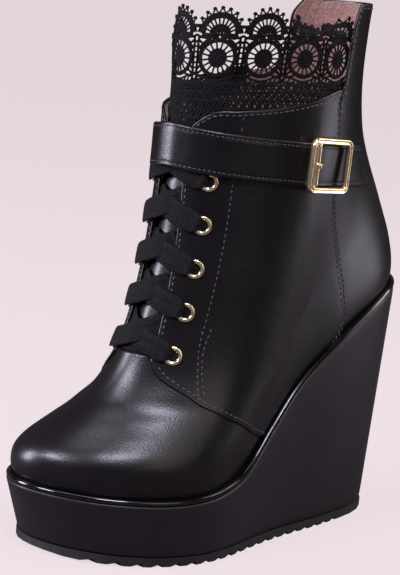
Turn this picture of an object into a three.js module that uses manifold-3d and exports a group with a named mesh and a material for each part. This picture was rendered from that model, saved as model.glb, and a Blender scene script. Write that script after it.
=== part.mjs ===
// Wedge ankle boot, left foot: lace-up front, ankle strap with buckle, crochet cuff and back zip.
// Millimetres, +Z up, toe towards -Y, outer side of the foot towards +X, floor at z = 0.
import * as THREE from 'three';
import { mergeVertices } from 'three/addons/utils/BufferGeometryUtils.js';
import Module from 'manifold-3d';

const wasm = await Module();
wasm.setup();

// Driving sizes of the last and the sole
const FOOT_LENGTH = 222;
const BALL_WIDTH = 97;
const PLATFORM_HEIGHT = 29;
const HEEL_HEIGHT = 117;
const TOE_SPRING = 3;
const TOE_SWING = 15;

// Driving sizes of the shaft
const SHAFT_DEPTH = 116;
const SHAFT_WIDTH = 75;
const SHAFT_BACKSET = 13;
const FRONT_TOP_HEIGHT = 250;
const BACK_TOP_HEIGHT = 258;
const COLLAR_HEIGHT = 204;
const TAB_HEIGHT = 255;

// Walls, margins and clearances
const WALL = 2;
const RAND_MARGIN = 3.8;
const GAP = 0.3;
const SOLE_THICKNESS = 4;
const INSOLE_THICKNESS = 3;
const BEAD_RADIUS = 1.25;
const TONGUE_THICKNESS = 2.4;

// Sawtooth lugs across the bottom
const TOOTH_PITCH = 7.6;
const TOOTH_DEPTH = 1.6;
const TOOTH_LAND = 3.2;
const HEEL_PIECE_LENGTH = 44;
const TOE_UNDERCUT = 8.9;
const HEEL_UNDERCUT = 12.6;

// Lacing
const THROAT_BOTTOM = 86;
const THROAT_BOTTOM_TURN = 21;
const THROAT_TOP_TURN = 13;
const EYELET_ROWS = 6;
const FIRST_EYELET_HEIGHT = 92;
const EYELET_PITCH = 19.8;
const EYELET_TURN = 31;
const EYELET_BORE = 5;
const EYELET_RADIUS = 4.4;
const EYELET_RIM = 0.8;
const LACE_WIDTH = 9.4;
const LACE_THICKNESS = 1.4;

// Strap and buckle
const STRAP_WIDTH = 20;
const STRAP_THICKNESS = 1.5;
const STRAP_FRONT_HEIGHT = 186.5;
const STRAP_DROP_PER_DEGREE = 0.068;
const BUCKLE_TURN = 94;
const BUCKLE_LENGTH = 31;
const BUCKLE_HEIGHT = 25.6;
const BUCKLE_BAR = 2.2;

// Zip
const ZIP_BOTTOM = 152;
const ZIP_TOP = 250;
const ZIP_TAPE_WIDTH = 13;
const ZIP_CHAIN_WIDTH = 4.6;
const PULL_LENGTH = 28;
const PULL_WIDTH = 8;

// Crochet cuff
const CUFF_THICKNESS = 1;
const SCALLOP_COUNT = 10;
const SCALLOP_RISE = 9;
const CUFF_FRONT_HEIGHT = 237;
const CUFF_BACK_HEIGHT = 244;
const CUFF_END_TURN = 112;

const HALF_LENGTH = FOOT_LENGTH / 2;
const AROUND = 48;
const SKIN_LEVELS = [0, 1, 2, 3, 4, 5, 6, 7, 8, 9, 10, 11, 12, 13, 14.5, 16];
const radians = THREE.MathUtils.degToRad;
const lerp = THREE.MathUtils.lerp;
const smoothstep = THREE.MathUtils.smoothstep;

const vector = (x, y, z) => new THREE.Vector3(x, y, z);

// One row for each ring of the last, from the feather line (level 0) up to the top of the tab.
// frontReach and heelReach are shares of the reach from the origin, frontRise and heelRise are
// shares of the rise to the top, leg goes from foot (0) to shaft (1), fullness is a share of the
// width, follow is how far a ring keeps the arch of the feather line, and ridge thins the instep.
const SECTION_COLUMNS = [
  'frontReach', 'frontRise', 'heelReach', 'heelRise', 'leg', 'fullness', 'follow', 'ridge',
];
const SECTIONS = [
  [1.0, 0, 1.0, 0, 0, 1.0, 1, 0],
  [1.021, 0.032, 1.012, 0.05, 0, 1.02, 1, 0],
  [1.029, 0.064, 1.014, 0.099, 0.02, 1.023, 0.99, 0],
  [1.015, 0.089, 1.009, 0.149, 0.06, 1.015, 0.96, 0.03],
  [0.968, 0.115, 1.001, 0.202, 0.12, 1.0, 0.92, 0.09],
  [0.908, 0.144, 0.99, 0.255, 0.2, 0.985, 0.86, 0.16],
  [0.847, 0.183, 0.981, 0.312, 0.3, 0.968, 0.78, 0.22],
  [0.814, 0.239, 0.978, 0.369, 0.42, 0.96, 0.68, 0.26],
  [0.815, 0.307, 0.974, 0.426, 0.55, 0.961, 0.56, 0.27],
  [0.856, 0.385, 0.971, 0.496, 0.7, 0.971, 0.42, 0.25],
  [0.919, 0.472, 0.977, 0.567, 0.84, 0.981, 0.28, 0.22],
  [0.975, 0.564, 0.984, 0.645, 0.94, 0.994, 0.15, 0.19],
  [1.011, 0.656, 0.993, 0.716, 1, 1, 0.06, 0.17],
  [0.989, 0.748, 0.986, 0.787, 1, 1, 0, 0.15],
  [0.967, 0.839, 0.993, 0.858, 1, 1, 0, 0.13],
  [0.944, 0.917, 1.007, 0.929, 1, 1, 0, 0.12],
  [0.922, 1, 1.028, 1, 1, 1, 0, 0.12],
];
const TOP_LEVEL = SECTIONS.length - 1;

// Half widths of the sole outline as shares of the ball width, every 30 degrees from toe to heel
const LATERAL_WIDTHS = [0.555, 0.6, 0.55, 0.385, 0.415, 0.52, 0.53];
const MEDIAL_WIDTHS = [0.555, 0.6, 0.575, 0.36, 0.365, 0.48, 0.53];
const WIDTH_STATIONS = [0, 30, 60, 90, 120, 150, 180];

// Rise of the wedge top from platform to heel: share of the length against share of the rise
const ARCH_STATIONS = [0, 0.12, 0.25, 0.33, 0.41, 0.5, 0.58, 0.69, 0.82, 0.92, 1];
const ARCH_RISES = [0, 0, 0, 0.02, 0.09, 0.3, 0.5, 0.69, 0.86, 0.96, 1];

// Smooth curve through a short table, level at neither end
function slopeAt(stations, values, i) {
  const last = stations.length - 1;
  if (i === 0) return (values[1] - values[0]) / (stations[1] - stations[0]);
  if (i === last) return (values[last] - values[last - 1]) / (stations[last] - stations[last - 1]);
  const before = stations[i] - stations[i - 1];
  const after = stations[i + 1] - stations[i];
  const rise = before * before * values[i + 1] + (after * after - before * before) * values[i];
  return (rise - after * after * values[i - 1]) / (before * after * (before + after));
}

function through(stations, values, at) {
  const last = stations.length - 1;
  const q = THREE.MathUtils.clamp(at, stations[0], stations[last]);
  let i = 0;
  while (i < last - 1 && stations[i + 1] <= q) i += 1;
  const step = stations[i + 1] - stations[i];
  const t = (q - stations[i]) / step;
  const t2 = t * t;
  const t3 = t2 * t;
  return (2 * t3 - 3 * t2 + 1) * values[i] + (t3 - 2 * t2 + t) * step * slopeAt(stations, values, i)
    + (3 * t2 - 2 * t3) * values[i + 1] + (t3 - t2) * step * slopeAt(stations, values, i + 1);
}

const LEVELS = SECTIONS.map((_, i) => i);
const COLUMNS = SECTION_COLUMNS.map((_, c) => SECTIONS.map((row) => row[c]));

function sectionAt(level) {
  return Object.fromEntries(SECTION_COLUMNS.map((name, c) => [name, through(LEVELS, COLUMNS[c], level)]));
}

// Height of the wedge top and lift of the toe at a place along the foot
function toeLift(y) {
  const share = (y + HALF_LENGTH) / FOOT_LENGTH;
  return TOE_SPRING * Math.max(0, 1 - share / 0.2) ** 2;
}

function archHeight(y) {
  const share = (y + HALF_LENGTH) / FOOT_LENGTH;
  return lerp(PLATFORM_HEIGHT, HEEL_HEIGHT, through(ARCH_STATIONS, ARCH_RISES, share)) + toeLift(y);
}

// Turn is the angle about the last, 0 at the toe, positive round the outer side, 180 at the heel
function halfWidth(turn) {
  const around = Math.abs(turn) * 180 / Math.PI;
  return BALL_WIDTH * through(WIDTH_STATIONS, turn >= 0 ? LATERAL_WIDTHS : MEDIAL_WIDTHS, around);
}

function toeDrift(turn) {
  return -TOE_SWING * Math.max(0, Math.cos(turn)) ** 1.5;
}

function footprint(turn, inset, toeCut = inset, heelCut = inset) {
  const front = -HALF_LENGTH + toeCut;
  const back = HALF_LENGTH - heelCut;
  const x = Math.sin(turn) * (halfWidth(turn) - inset) + toeDrift(turn);
  return vector(x, lerp(front, back, (1 - Math.cos(turn)) / 2), 0);
}

// Outer skin of the upper at a level and turn
function skinPoint(level, turn) {
  const row = sectionAt(level);
  const share = (1 - Math.cos(turn)) / 2;
  const reach = HALF_LENGTH - RAND_MARGIN;
  const front = -lerp(reach, SHAFT_DEPTH / 2 - SHAFT_BACKSET, row.leg) * row.frontReach;
  const back = lerp(reach, SHAFT_DEPTH / 2 + SHAFT_BACKSET, row.leg) * row.heelReach;
  const toeZ = archHeight(-reach);
  const heelZ = archHeight(reach);
  const frontZ = lerp(toeZ, FRONT_TOP_HEIGHT, row.frontRise);
  const backZ = lerp(heelZ, BACK_TOP_HEIGHT, row.heelRise);
  const arch = archHeight(-reach * Math.cos(turn)) - lerp(toeZ, heelZ, share);
  const ridge = 1 - row.ridge * Math.max(0, Math.cos(turn)) ** 1.5;
  const width = lerp(halfWidth(turn), SHAFT_WIDTH / 2, row.leg) * ridge * row.fullness;
  const x = Math.sin(turn) * (width - RAND_MARGIN * (1 - row.leg)) + toeDrift(turn) * (1 - row.leg) ** 3;
  return vector(x, lerp(front, back, share), lerp(frontZ, backZ, share) + row.follow * arch + GAP);
}

function skinNormal(level, turn) {
  const d = 0.02;
  const along = skinPoint(level, turn + d).sub(skinPoint(level, turn - d));
  const up = skinPoint(Math.min(level + d, TOP_LEVEL), turn).sub(skinPoint(Math.max(level - d, 0), turn));
  return along.cross(up).normalize();
}

function skin(level, turn, lift) {
  return skinPoint(level, turn).addScaledVector(skinNormal(level, turn), lift);
}

// Level of the skin at a height, for a turn given in degrees
function levelAt(turnDegrees, height) {
  const turn = radians(turnDegrees);
  let low = 0;
  let high = TOP_LEVEL;
  for (let i = 0; i < 24; i += 1) {
    const middle = (low + high) / 2;
    if (skinPoint(middle, turn).z < height) low = middle;
    else high = middle;
  }
  return (low + high) / 2;
}

function onShaft(turnDegrees, height, lift) {
  return skin(levelAt(turnDegrees, height), radians(turnDegrees), lift);
}

// Closed shell between two grids of points; a loop joins its last column to its first
function shell(outer, inner, loop = false) {
  const rows = outer.length;
  const columns = outer[0].length;
  const points = [...outer.flat(), ...inner.flat()];
  const half = rows * columns;
  const faces = [];
  const quad = (a, b, c, d) => faces.push(a, b, c, a, c, d);
  const wrap = (j) => j % columns;
  const spans = loop ? columns : columns - 1;
  for (let i = 0; i < rows - 1; i += 1) {
    for (let j = 0; j < spans; j += 1) {
      const a = i * columns + j;
      const b = i * columns + wrap(j + 1);
      quad(a, b, b + columns, a + columns);
      quad(half + a, half + a + columns, half + b + columns, half + b);
    }
  }
  for (let j = 0; j < spans; j += 1) {
    const top = (rows - 1) * columns;
    quad(j, half + j, half + wrap(j + 1), wrap(j + 1));
    quad(top + j, top + wrap(j + 1), half + top + wrap(j + 1), half + top + j);
  }
  for (let i = 0; i < rows - 1 && !loop; i += 1) {
    const a = i * columns;
    const b = a + columns - 1;
    quad(a, a + columns, half + a + columns, half + a);
    quad(b, half + b, half + b + columns, b + columns);
  }
  return meshGeometry(points.flatMap((p) => [p.x, p.y, p.z]), faces);
}

// Indexed geometry of a closed mesh, with its faces turned outwards
function meshGeometry(positions, faces) {
  const corner = (i) => vector(positions[3 * i], positions[3 * i + 1], positions[3 * i + 2]);
  let volume = 0;
  for (let i = 0; i < faces.length; i += 3) {
    volume += corner(faces[i]).dot(corner(faces[i + 1]).cross(corner(faces[i + 2])));
  }
  const geometry = new THREE.BufferGeometry();
  geometry.setAttribute('position', new THREE.Float32BufferAttribute(positions, 3));
  geometry.setIndex(volume > 0 ? Array.from(faces) : Array.from(faces).reverse());
  return geometry;
}

// Shell on the skin: place(s, t) gives [level, turn in degrees], s and t from 0 to 1
function skinPatch(steps, rows, place, low, high) {
  const grid = (lift) => Array.from({ length: rows + 1 }, (_, i) => (
    Array.from({ length: steps + 1 }, (__, j) => {
      const [level, turn] = place(j / steps, i / rows);
      return skin(level, radians(turn), lift(j / steps, turn));
    })));
  return shell(grid(high), grid(low));
}

function toSolid(geometry) {
  const bare = geometry.clone();
  bare.deleteAttribute('normal');
  bare.deleteAttribute('uv');
  const merged = mergeVertices(bare, 1e-4);
  const mesh = new wasm.Mesh({
    numProp: 3,
    vertProperties: new Float32Array(merged.attributes.position.array),
    triVerts: new Uint32Array(merged.index.array),
  });
  return new wasm.Manifold(mesh);
}

function toGeometry(solid) {
  const mesh = solid.getMesh();
  return meshGeometry(mesh.vertProperties, mesh.triVerts);
}

const join = (geometries) => toGeometry(geometries.map(toSolid).reduce((sum, next) => sum.add(next)));
const cut = (geometry, tools) => (
  toGeometry(tools.map(toSolid).reduce((rest, tool) => rest.subtract(tool), toSolid(geometry))));

const extruded = (shape, depth, curveSegments) => (
  new THREE.ExtrudeGeometry(shape, { depth, bevelEnabled: false, curveSegments }));

function prism(points, depth) {
  return extruded(new THREE.Shape(points), depth, 6);
}

// Turns a prism so that its outline lies in a view: side is (y, z), front is (x, z)
const SIDE_VIEW = new THREE.Matrix4().makeBasis(vector(0, 1, 0), vector(0, 0, 1), vector(1, 0, 0));
const FRONT_VIEW = new THREE.Matrix4().makeBasis(vector(1, 0, 0), vector(0, 0, 1), vector(0, -1, 0));

const turns = Array.from({ length: AROUND }, (_, i) => {
  const turn = 2 * Math.PI * i / AROUND;
  return turn > Math.PI ? turn - 2 * Math.PI : turn;
});

// Outsole: a thin rubber sheet with sawtooth lugs from the toe to the plain heel piece
function outsole() {
  const front = -HALF_LENGTH + TOE_UNDERCUT;
  const back = HALF_LENGTH - HEEL_UNDERCUT;
  const teethEnd = back - HEEL_PIECE_LENGTH;
  const profile = [];
  const add = (y, z) => profile.push(new THREE.Vector2(y, z + toeLift(y)));
  const teeth = Math.floor((teethEnd - front) / TOOTH_PITCH);
  add(front - TOOTH_PITCH, TOOTH_DEPTH);
  for (let i = 0; i < teeth; i += 1) {
    const start = teethEnd - (teeth - i) * TOOTH_PITCH;
    add(start, 0);
    add(start + TOOTH_LAND, 0);
    add(start + TOOTH_PITCH - 0.4, TOOTH_DEPTH);
  }
  add(teethEnd, 0);
  add(back + TOOTH_PITCH, 0);
  const topSteps = 16;
  for (let i = topSteps; i >= 0; i -= 1) {
    add(lerp(front - TOOTH_PITCH, back + TOOTH_PITCH, i / topSteps), SOLE_THICKNESS);
  }
  const lugs = prism(profile, 2 * BALL_WIDTH).translate(0, 0, -BALL_WIDTH).applyMatrix4(SIDE_VIEW);
  const outline = turns.map((turn) => footprint(turn, 0, TOE_UNDERCUT, HEEL_UNDERCUT));
  const blank = prism(outline, 3 * SOLE_THICKNESS).translate(0, 0, -SOLE_THICKNESS);
  return toGeometry(toSolid(blank).intersect(toSolid(lugs)));
}

// Wedge and platform in one block, wrapped, drawn in towards the floor at toe and heel
function wedge() {
  const bottom = turns.map((turn) => {
    const p = footprint(turn, 0.4, TOE_UNDERCUT + 0.4, HEEL_UNDERCUT + 0.4);
    return p.setZ(SOLE_THICKNESS + GAP + toeLift(p.y));
  });
  const top = turns.map((turn) => {
    const p = footprint(turn, 0);
    return p.setZ(archHeight(p.y));
  });
  const faces = [];
  for (let j = 0; j < AROUND; j += 1) {
    const next = (j + 1) % AROUND;
    faces.push(j, next, next + AROUND, j, next + AROUND, j + AROUND);
  }
  const across = (a, b, c, d) => {
    faces.push(a, b, c, a, c, d);
  };
  const half = AROUND / 2;
  for (let j = 0; j < half; j += 1) {
    const mirror = (AROUND - j) % AROUND;
    const before = AROUND - j - 1;
    if (j === 0) {
      faces.push(0, before, 1, AROUND, AROUND + 1, AROUND + before);
    } else if (j === half - 1) {
      faces.push(j, mirror, half, AROUND + j, AROUND + half, AROUND + mirror);
    } else {
      across(j, mirror, before, j + 1);
      across(AROUND + j, AROUND + j + 1, AROUND + before, AROUND + mirror);
    }
  }
  return meshGeometry([...bottom, ...top].flatMap((p) => [p.x, p.y, p.z]), faces);
}

// Glossy bead that runs round the top edge of the wedge
function welt() {
  const sides = 4;
  const inset = BEAD_RADIUS + 0.1;
  const centre = turns.map((turn) => {
    const p = footprint(turn, inset);
    const slope = archHeight(p.y + 0.5) - archHeight(p.y - 0.5);
    return p.setZ(archHeight(p.y) + (GAP + BEAD_RADIUS) * Math.hypot(1, slope));
  });
  const points = [];
  const faces = [];
  centre.forEach((p, i) => {
    const before = centre[(i + AROUND - 1) % AROUND];
    const after = centre[(i + 1) % AROUND];
    const along = after.clone().sub(before).normalize();
    const side = along.clone().cross(vector(0, 0, 1)).normalize();
    const up = side.clone().cross(along);
    for (let k = 0; k < sides; k += 1) {
      const a = 2 * Math.PI * (k + 0.5) / sides;
      const q = p.clone().addScaledVector(side, BEAD_RADIUS * Math.cos(a));
      q.addScaledVector(up, BEAD_RADIUS * Math.sin(a));
      points.push(q.x, q.y, q.z);
      const here = i * sides + k;
      const right = i * sides + (k + 1) % sides;
      const ahead = ((i + 1) % AROUND) * sides;
      faces.push(here, ahead + k, ahead + (k + 1) % sides, here, ahead + (k + 1) % sides, right);
    }
  });
  return meshGeometry(points, faces);
}

// Insole: a sheet on the wedge top inside the upper
function insole() {
  const inset = RAND_MARGIN + WALL + 4 * GAP;
  const half = AROUND / 2;
  const row = (height) => {
    const strip = (side) => Array.from({ length: half + 1 }, (_, i) => {
      const turn = side * Math.PI * i / half;
      const p = footprint(turn, inset);
      return p.setZ(archHeight(p.y) + 3 * GAP + height);
    });
    return [strip(1).slice(1, -1), strip(-1).slice(1, -1)];
  };
  return shell(row(INSOLE_THICKNESS), row(0));
}

// Cut-outs of the upper
const TAB_FRONT_Y = 25;

function aboveTopline() {
  const shape = new THREE.Shape();
  shape.moveTo(-2 * FOOT_LENGTH, COLLAR_HEIGHT - 9);
  shape.lineTo(-43, COLLAR_HEIGHT - 9);
  shape.quadraticCurveTo(-40, COLLAR_HEIGHT - 1, -31, COLLAR_HEIGHT - 0.5);
  shape.lineTo(-14, COLLAR_HEIGHT + 1);
  shape.quadraticCurveTo(8, COLLAR_HEIGHT + 4.5, TAB_FRONT_Y - 1, COLLAR_HEIGHT + 9.5);
  shape.quadraticCurveTo(TAB_FRONT_Y + 1, COLLAR_HEIGHT + 12, TAB_FRONT_Y, COLLAR_HEIGHT + 20);
  shape.lineTo(TAB_FRONT_Y - 2, TAB_HEIGHT - 6);
  shape.quadraticCurveTo(TAB_FRONT_Y - 2, TAB_HEIGHT - 1, TAB_FRONT_Y + 4, TAB_HEIGHT - 0.5);
  shape.lineTo(2 * FOOT_LENGTH, TAB_HEIGHT + 1);
  shape.lineTo(2 * FOOT_LENGTH, 2 * TAB_HEIGHT);
  shape.lineTo(-2 * FOOT_LENGTH, 2 * TAB_HEIGHT);
  const tool = extruded(shape, 2 * BALL_WIDTH, 5);
  return tool.translate(0, 0, -BALL_WIDTH).applyMatrix4(SIDE_VIEW);
}

// Half of the throat's width, in degrees of turn
const throatTurn = (height) => (
  lerp(THROAT_BOTTOM_TURN, THROAT_TOP_TURN, smoothstep(height, THROAT_BOTTOM, 1.7 * THROAT_BOTTOM)));

function throatSlot() {
  const corners = [[0, 0.55], [0.8, 0.86], [3, 1]];
  const heights = [10, 24, 40, 60, 90, 120, 168];
  const stations = [...corners, ...heights.map((height) => [height, 1])];
  const edge = (side) => stations.map(([rise, share]) => {
    const height = THROAT_BOTTOM + rise;
    const p = onShaft(side * share * throatTurn(height), height, 0);
    return new THREE.Vector2(p.x, rise === 168 ? 2 * TAB_HEIGHT : height);
  });
  return prism([...edge(1), ...edge(-1).reverse()], FOOT_LENGTH).applyMatrix4(FRONT_VIEW);
}

// Eyelets sit in pairs on the facings, row 0 at the bottom
const eyeletHeight = (row) => FIRST_EYELET_HEIGHT + row * EYELET_PITCH;

function eyeletPlace(row, side) {
  const level = levelAt(side * EYELET_TURN, eyeletHeight(row));
  const turn = radians(side * EYELET_TURN);
  const outward = skinNormal(level, turn);
  const spin = new THREE.Quaternion().setFromUnitVectors(vector(0, 1, 0), outward);
  return new THREE.Matrix4().compose(skinPoint(level, turn), spin, vector(1, 1, 1));
}

const eyelets = [];
for (let row = 0; row < EYELET_ROWS; row += 1) {
  for (const side of [1, -1]) eyelets.push({ row, side, place: eyeletPlace(row, side) });
}

const EYELET_BARREL = EYELET_BORE / 2 + 0.5;
const EYELET_SEAT = 1.4 * GAP;

// Upper: one hollow leather wall, open at the collar, down the throat and underneath
function upper() {
  const ring = (lift) => SKIN_LEVELS.map((level) => turns.map((turn) => skin(level, turn, lift)));
  const outer = ring(0);
  const inner = ring(-WALL);
  inner[0].forEach((p, j) => p.setZ(outer[0][j].z));
  const holes = eyelets.map(({ place }) => (
    new THREE.CylinderGeometry(EYELET_BARREL + GAP, EYELET_BARREL + GAP, 8, 8).applyMatrix4(place)));
  return cut(shell(outer, inner, true), [aboveTopline(), throatSlot(), ...holes]);
}

// Tongue: a padded strip behind the throat, set deeper at the top to pass inside the cuff
const TONGUE_TOP = COLLAR_HEIGHT + 3;
const tongueDepth = (height) => WALL + 2 * GAP + (CUFF_THICKNESS + 4 * GAP) * smoothstep(height, 166, 184);

function tongue() {
  const bottom = THROAT_BOTTOM - 8;
  const rows = 9;
  const steps = 6;
  const spread = 36;
  const grid = (extra) => Array.from({ length: rows + 1 }, (_, i) => (
    Array.from({ length: steps + 1 }, (__, j) => {
      const height = lerp(bottom, TONGUE_TOP, i / rows);
      const turn = lerp(-spread, spread, j / steps);
      return onShaft(turn, height, -tongueDepth(height) - extra);
    })));
  return shell(grid(0), grid(TONGUE_THICKNESS));
}

// Raised seams, each a row of [turn in degrees, level]
const VAMP_SEAM = [[20, 7.2], [25, 7.0], [30, 6.7], [40, 6.2], [52, 5.7], [68, 4.5], [78, 2.6], [87, 0.4]];
const BACK_SEAM = [[106, 12.5], [105, 10.8], [108, 8.8], [110, 6], [112, 3], [113, 0.5]];
const SEAM_WIDTH = 2;
const SEAM_HEIGHT = 0.6;
const SEAM_SEAT = 1.6 * GAP;

function seam(route, side) {
  const stations = route.map((_, i) => i);
  const last = route.length - 1;
  const steps = 2 * last + 2;
  const at = (s) => [0, 1].map((c) => through(stations, route.map((row) => row[c]), s * last));
  const grid = (lift) => [-1, 1].map((edge) => Array.from({ length: steps + 1 }, (_, j) => {
    const s = j / steps;
    const [turn, level] = at(s);
    const [turnBefore, levelBefore] = at(Math.max(0, s - 0.01));
    const [turnAfter, levelAfter] = at(Math.min(1, s + 0.01));
    const along = skin(levelAfter, radians(side * turnAfter), lift);
    along.sub(skin(levelBefore, radians(side * turnBefore), lift));
    const outward = skinNormal(level, radians(side * turn));
    const across = along.cross(outward).normalize();
    return skin(level, radians(side * turn), lift).addScaledVector(across, edge * SEAM_WIDTH / 2);
  }));
  return shell(grid(SEAM_SEAT + SEAM_HEIGHT), grid(SEAM_SEAT));
}

function eyelet({ place }) {
  const bore = EYELET_BORE / 2;
  const profile = [
    [bore, -WALL + 0.2], [EYELET_BARREL, -WALL + 0.2], [EYELET_BARREL, EYELET_SEAT],
    [EYELET_RADIUS, EYELET_SEAT], [bore + 0.6, EYELET_SEAT + EYELET_RIM], [bore, -WALL + 0.2],
  ].map(([r, h]) => new THREE.Vector2(r, h));
  return new THREE.LatheGeometry(profile, 8).applyMatrix4(place);
}

// Flat lace: each run leaves one eyelet over the facing and tucks under the facing across the throat
const LACE_SEAT = 1.6 * GAP;

function laceRun(row, side) {
  const leave = EYELET_TURN - 8.8;
  const arrive = 1.8 - throatTurn(eyeletHeight(row) + 0.75 * EYELET_PITCH);
  const place = (s, t) => {
    const turn = lerp(leave, arrive, s);
    const climb = (EYELET_TURN - turn) / (2 * EYELET_TURN) * EYELET_PITCH;
    const height = eyeletHeight(row) + climb + (t - 0.5) * LACE_WIDTH;
    return [levelAt(side * turn, height), side * turn];
  };
  const low = (s) => lerp(LACE_SEAT, 0.5 - WALL, smoothstep(s, 0.25, 1));
  return skinPatch(5, 2, place, low, (s) => low(s) + LACE_THICKNESS);
}

function laceBar() {
  const spread = throatTurn(FIRST_EYELET_HEIGHT) - 2.5;
  const place = (s, t) => {
    const turn = lerp(-spread, spread, s);
    return [levelAt(turn, FIRST_EYELET_HEIGHT + 0.6 + (t - 0.5) * LACE_WIDTH), turn];
  };
  const low = 0.1 - WALL;
  return skinPatch(4, 2, place, () => low, () => low + LACE_THICKNESS);
}

const laceCross = (row) => join([laceRun(row, 1), laceRun(row, -1)]);

// Strap: over the top of the lacing, then flat on the quarter as far as the buckle
const strapHeight = (turn) => STRAP_FRONT_HEIGHT - STRAP_DROP_PER_DEGREE * Math.abs(turn);
const STRAP_END_TURN = 84.5;
const BILLET_END_TURN = 131;
const STRAP_SEAT = SEAM_SEAT + SEAM_HEIGHT + GAP;
const LACE_TOP = LACE_SEAT + LACE_THICKNESS;
const strapLift = (turn) => lerp(LACE_TOP + GAP, STRAP_SEAT, smoothstep(Math.abs(turn), 34, 62));

function strapPiece(from, to, steps, lean) {
  const place = (s, t) => {
    const turn = lerp(from, to, s) + lean * s * (0.5 - t);
    return [levelAt(turn, strapHeight(turn) + (t - 0.5) * STRAP_WIDTH), turn];
  };
  const low = (s, turn) => strapLift(turn);
  return skinPatch(steps, 2, place, low, (s, turn) => low(s, turn) + STRAP_THICKNESS);
}

// Buckle, laid flat on the strap at the outer ankle
const buckleTurn = radians(BUCKLE_TURN);
const buckleLevel = levelAt(BUCKLE_TURN, strapHeight(BUCKLE_TURN));
const buckleOut = skinNormal(buckleLevel, buckleTurn).setZ(0).normalize();
const buckleSlope = STRAP_DROP_PER_DEGREE * 180 / Math.PI / (SHAFT_DEPTH / 2);
const buckleAlong = vector(0, 0, 1).cross(buckleOut).setZ(-buckleSlope).normalize();
const buckleUp = buckleOut.clone().cross(buckleAlong);
const buckleLift = STRAP_SEAT + STRAP_THICKNESS + 2.5 * GAP;
const buckleCentre = skinPoint(buckleLevel, buckleTurn).addScaledVector(buckleOut, buckleLift);
const BUCKLE_PLACE = new THREE.Matrix4().makeBasis(buckleAlong, buckleUp, buckleOut);
BUCKLE_PLACE.setPosition(buckleCentre);

function roundedOutline(width, height, radius, target) {
  const x = width / 2;
  const y = height / 2;
  target.moveTo(-x + radius, -y);
  target.lineTo(x - radius, -y);
  target.absarc(x - radius, -y + radius, radius, -Math.PI / 2, 0);
  target.lineTo(x, y - radius);
  target.absarc(x - radius, y - radius, radius, 0, Math.PI / 2);
  target.lineTo(-x + radius, y);
  target.absarc(-x + radius, y - radius, radius, Math.PI / 2, Math.PI);
  target.lineTo(-x, -y + radius);
  target.absarc(-x + radius, -y + radius, radius, Math.PI, 1.5 * Math.PI);
  return target;
}

const INNER_BAR_PLACE = -BUCKLE_LENGTH / 2 + 2.4 * BUCKLE_BAR;

function buckleFrame() {
  const outline = roundedOutline(BUCKLE_LENGTH, BUCKLE_HEIGHT, 4, new THREE.Shape());
  const inside = 2 * BUCKLE_BAR;
  const opening = roundedOutline(BUCKLE_LENGTH - inside, BUCKLE_HEIGHT - inside, 2, new THREE.Path());
  outline.holes.push(opening);
  const frame = extruded(outline, BUCKLE_BAR, 3);
  const bar = new THREE.CylinderGeometry(BUCKLE_BAR / 2, BUCKLE_BAR / 2, BUCKLE_HEIGHT - BUCKLE_BAR, 8);
  bar.translate(INNER_BAR_PLACE, 0, BUCKLE_BAR / 2);
  return join([frame, bar]).applyMatrix4(BUCKLE_PLACE);
}

function buckleProng() {
  const r = BUCKLE_BAR / 2 + GAP;
  const wall = 0.9;
  const shape = new THREE.Shape();
  shape.absarc(0, 0, r + wall, Math.PI * 1.05, Math.PI * 0.2, true);
  shape.lineTo(5.6, 0.2);
  shape.lineTo(5.6, -0.6);
  shape.lineTo(r + 0.2, 0.2);
  shape.absarc(0, 0, r, Math.PI * 0.08, Math.PI * 1.05, false);
  const prong = extruded(shape, 2.6, 4);
  prong.translate(0, 0, -1.3).rotateX(Math.PI / 2).translate(INNER_BAR_PLACE, 0, BUCKLE_BAR / 2);
  return prong.applyMatrix4(BUCKLE_PLACE);
}

// Back zip: tape and chain on the skin, slider at the top with a hinged pull
function zipStrip(width, low, high, rows) {
  const level = (height) => levelAt(180, height);
  const spread = (height) => {
    const step = skinPoint(level(height), Math.PI).distanceTo(skinPoint(level(height), radians(175))) / 5;
    return width / 2 / step;
  };
  const place = (s, t) => {
    const height = lerp(ZIP_BOTTOM, ZIP_TOP, t);
    return [level(height), 180 + lerp(-1, 1, s) * spread(height)];
  };
  return skinPatch(2, rows, place, () => low, () => high);
}

const TAPE_SEAT = 1.8 * GAP;
const TAPE_TOP = TAPE_SEAT + 0.7;
const CHAIN_TOP = TAPE_TOP + GAP + 1.3;
const SLIDER_HEIGHT = 9;
const SLIDER_WIDTH = 7;
const SLIDER_THICKNESS = 1.6;
const sliderZ = ZIP_TOP - SLIDER_HEIGHT / 2;
const sliderBack = onShaft(180, ZIP_TOP, CHAIN_TOP + GAP);
const BAIL_RADIUS = 2.1;
const LINK_WIRE = 1.3;
const hinge = vector(0, sliderBack.y + SLIDER_THICKNESS + BAIL_RADIUS / 2 + 0.2, sliderZ + 1);

function box(width, depth, height, x, y, z) {
  return new THREE.BoxGeometry(width, depth, height).translate(x, y, z);
}

function zipSlider() {
  const plateY = sliderBack.y + SLIDER_THICKNESS / 2;
  const plate = box(SLIDER_WIDTH, SLIDER_THICKNESS, SLIDER_HEIGHT, 0, plateY, sliderZ);
  const outline = new THREE.Shape();
  outline.absarc(0, 0, BAIL_RADIUS, 0, 2 * Math.PI);
  const eye = new THREE.Path();
  eye.absarc(0, 0, LINK_WIRE / 2 + GAP, 0, 2 * Math.PI);
  outline.holes.push(eye);
  const bail = extruded(outline, 2, 5);
  bail.translate(0, 0, -1).applyMatrix4(SIDE_VIEW).translate(hinge.x, hinge.y, hinge.z);
  return join([plate, bail]);
}

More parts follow.
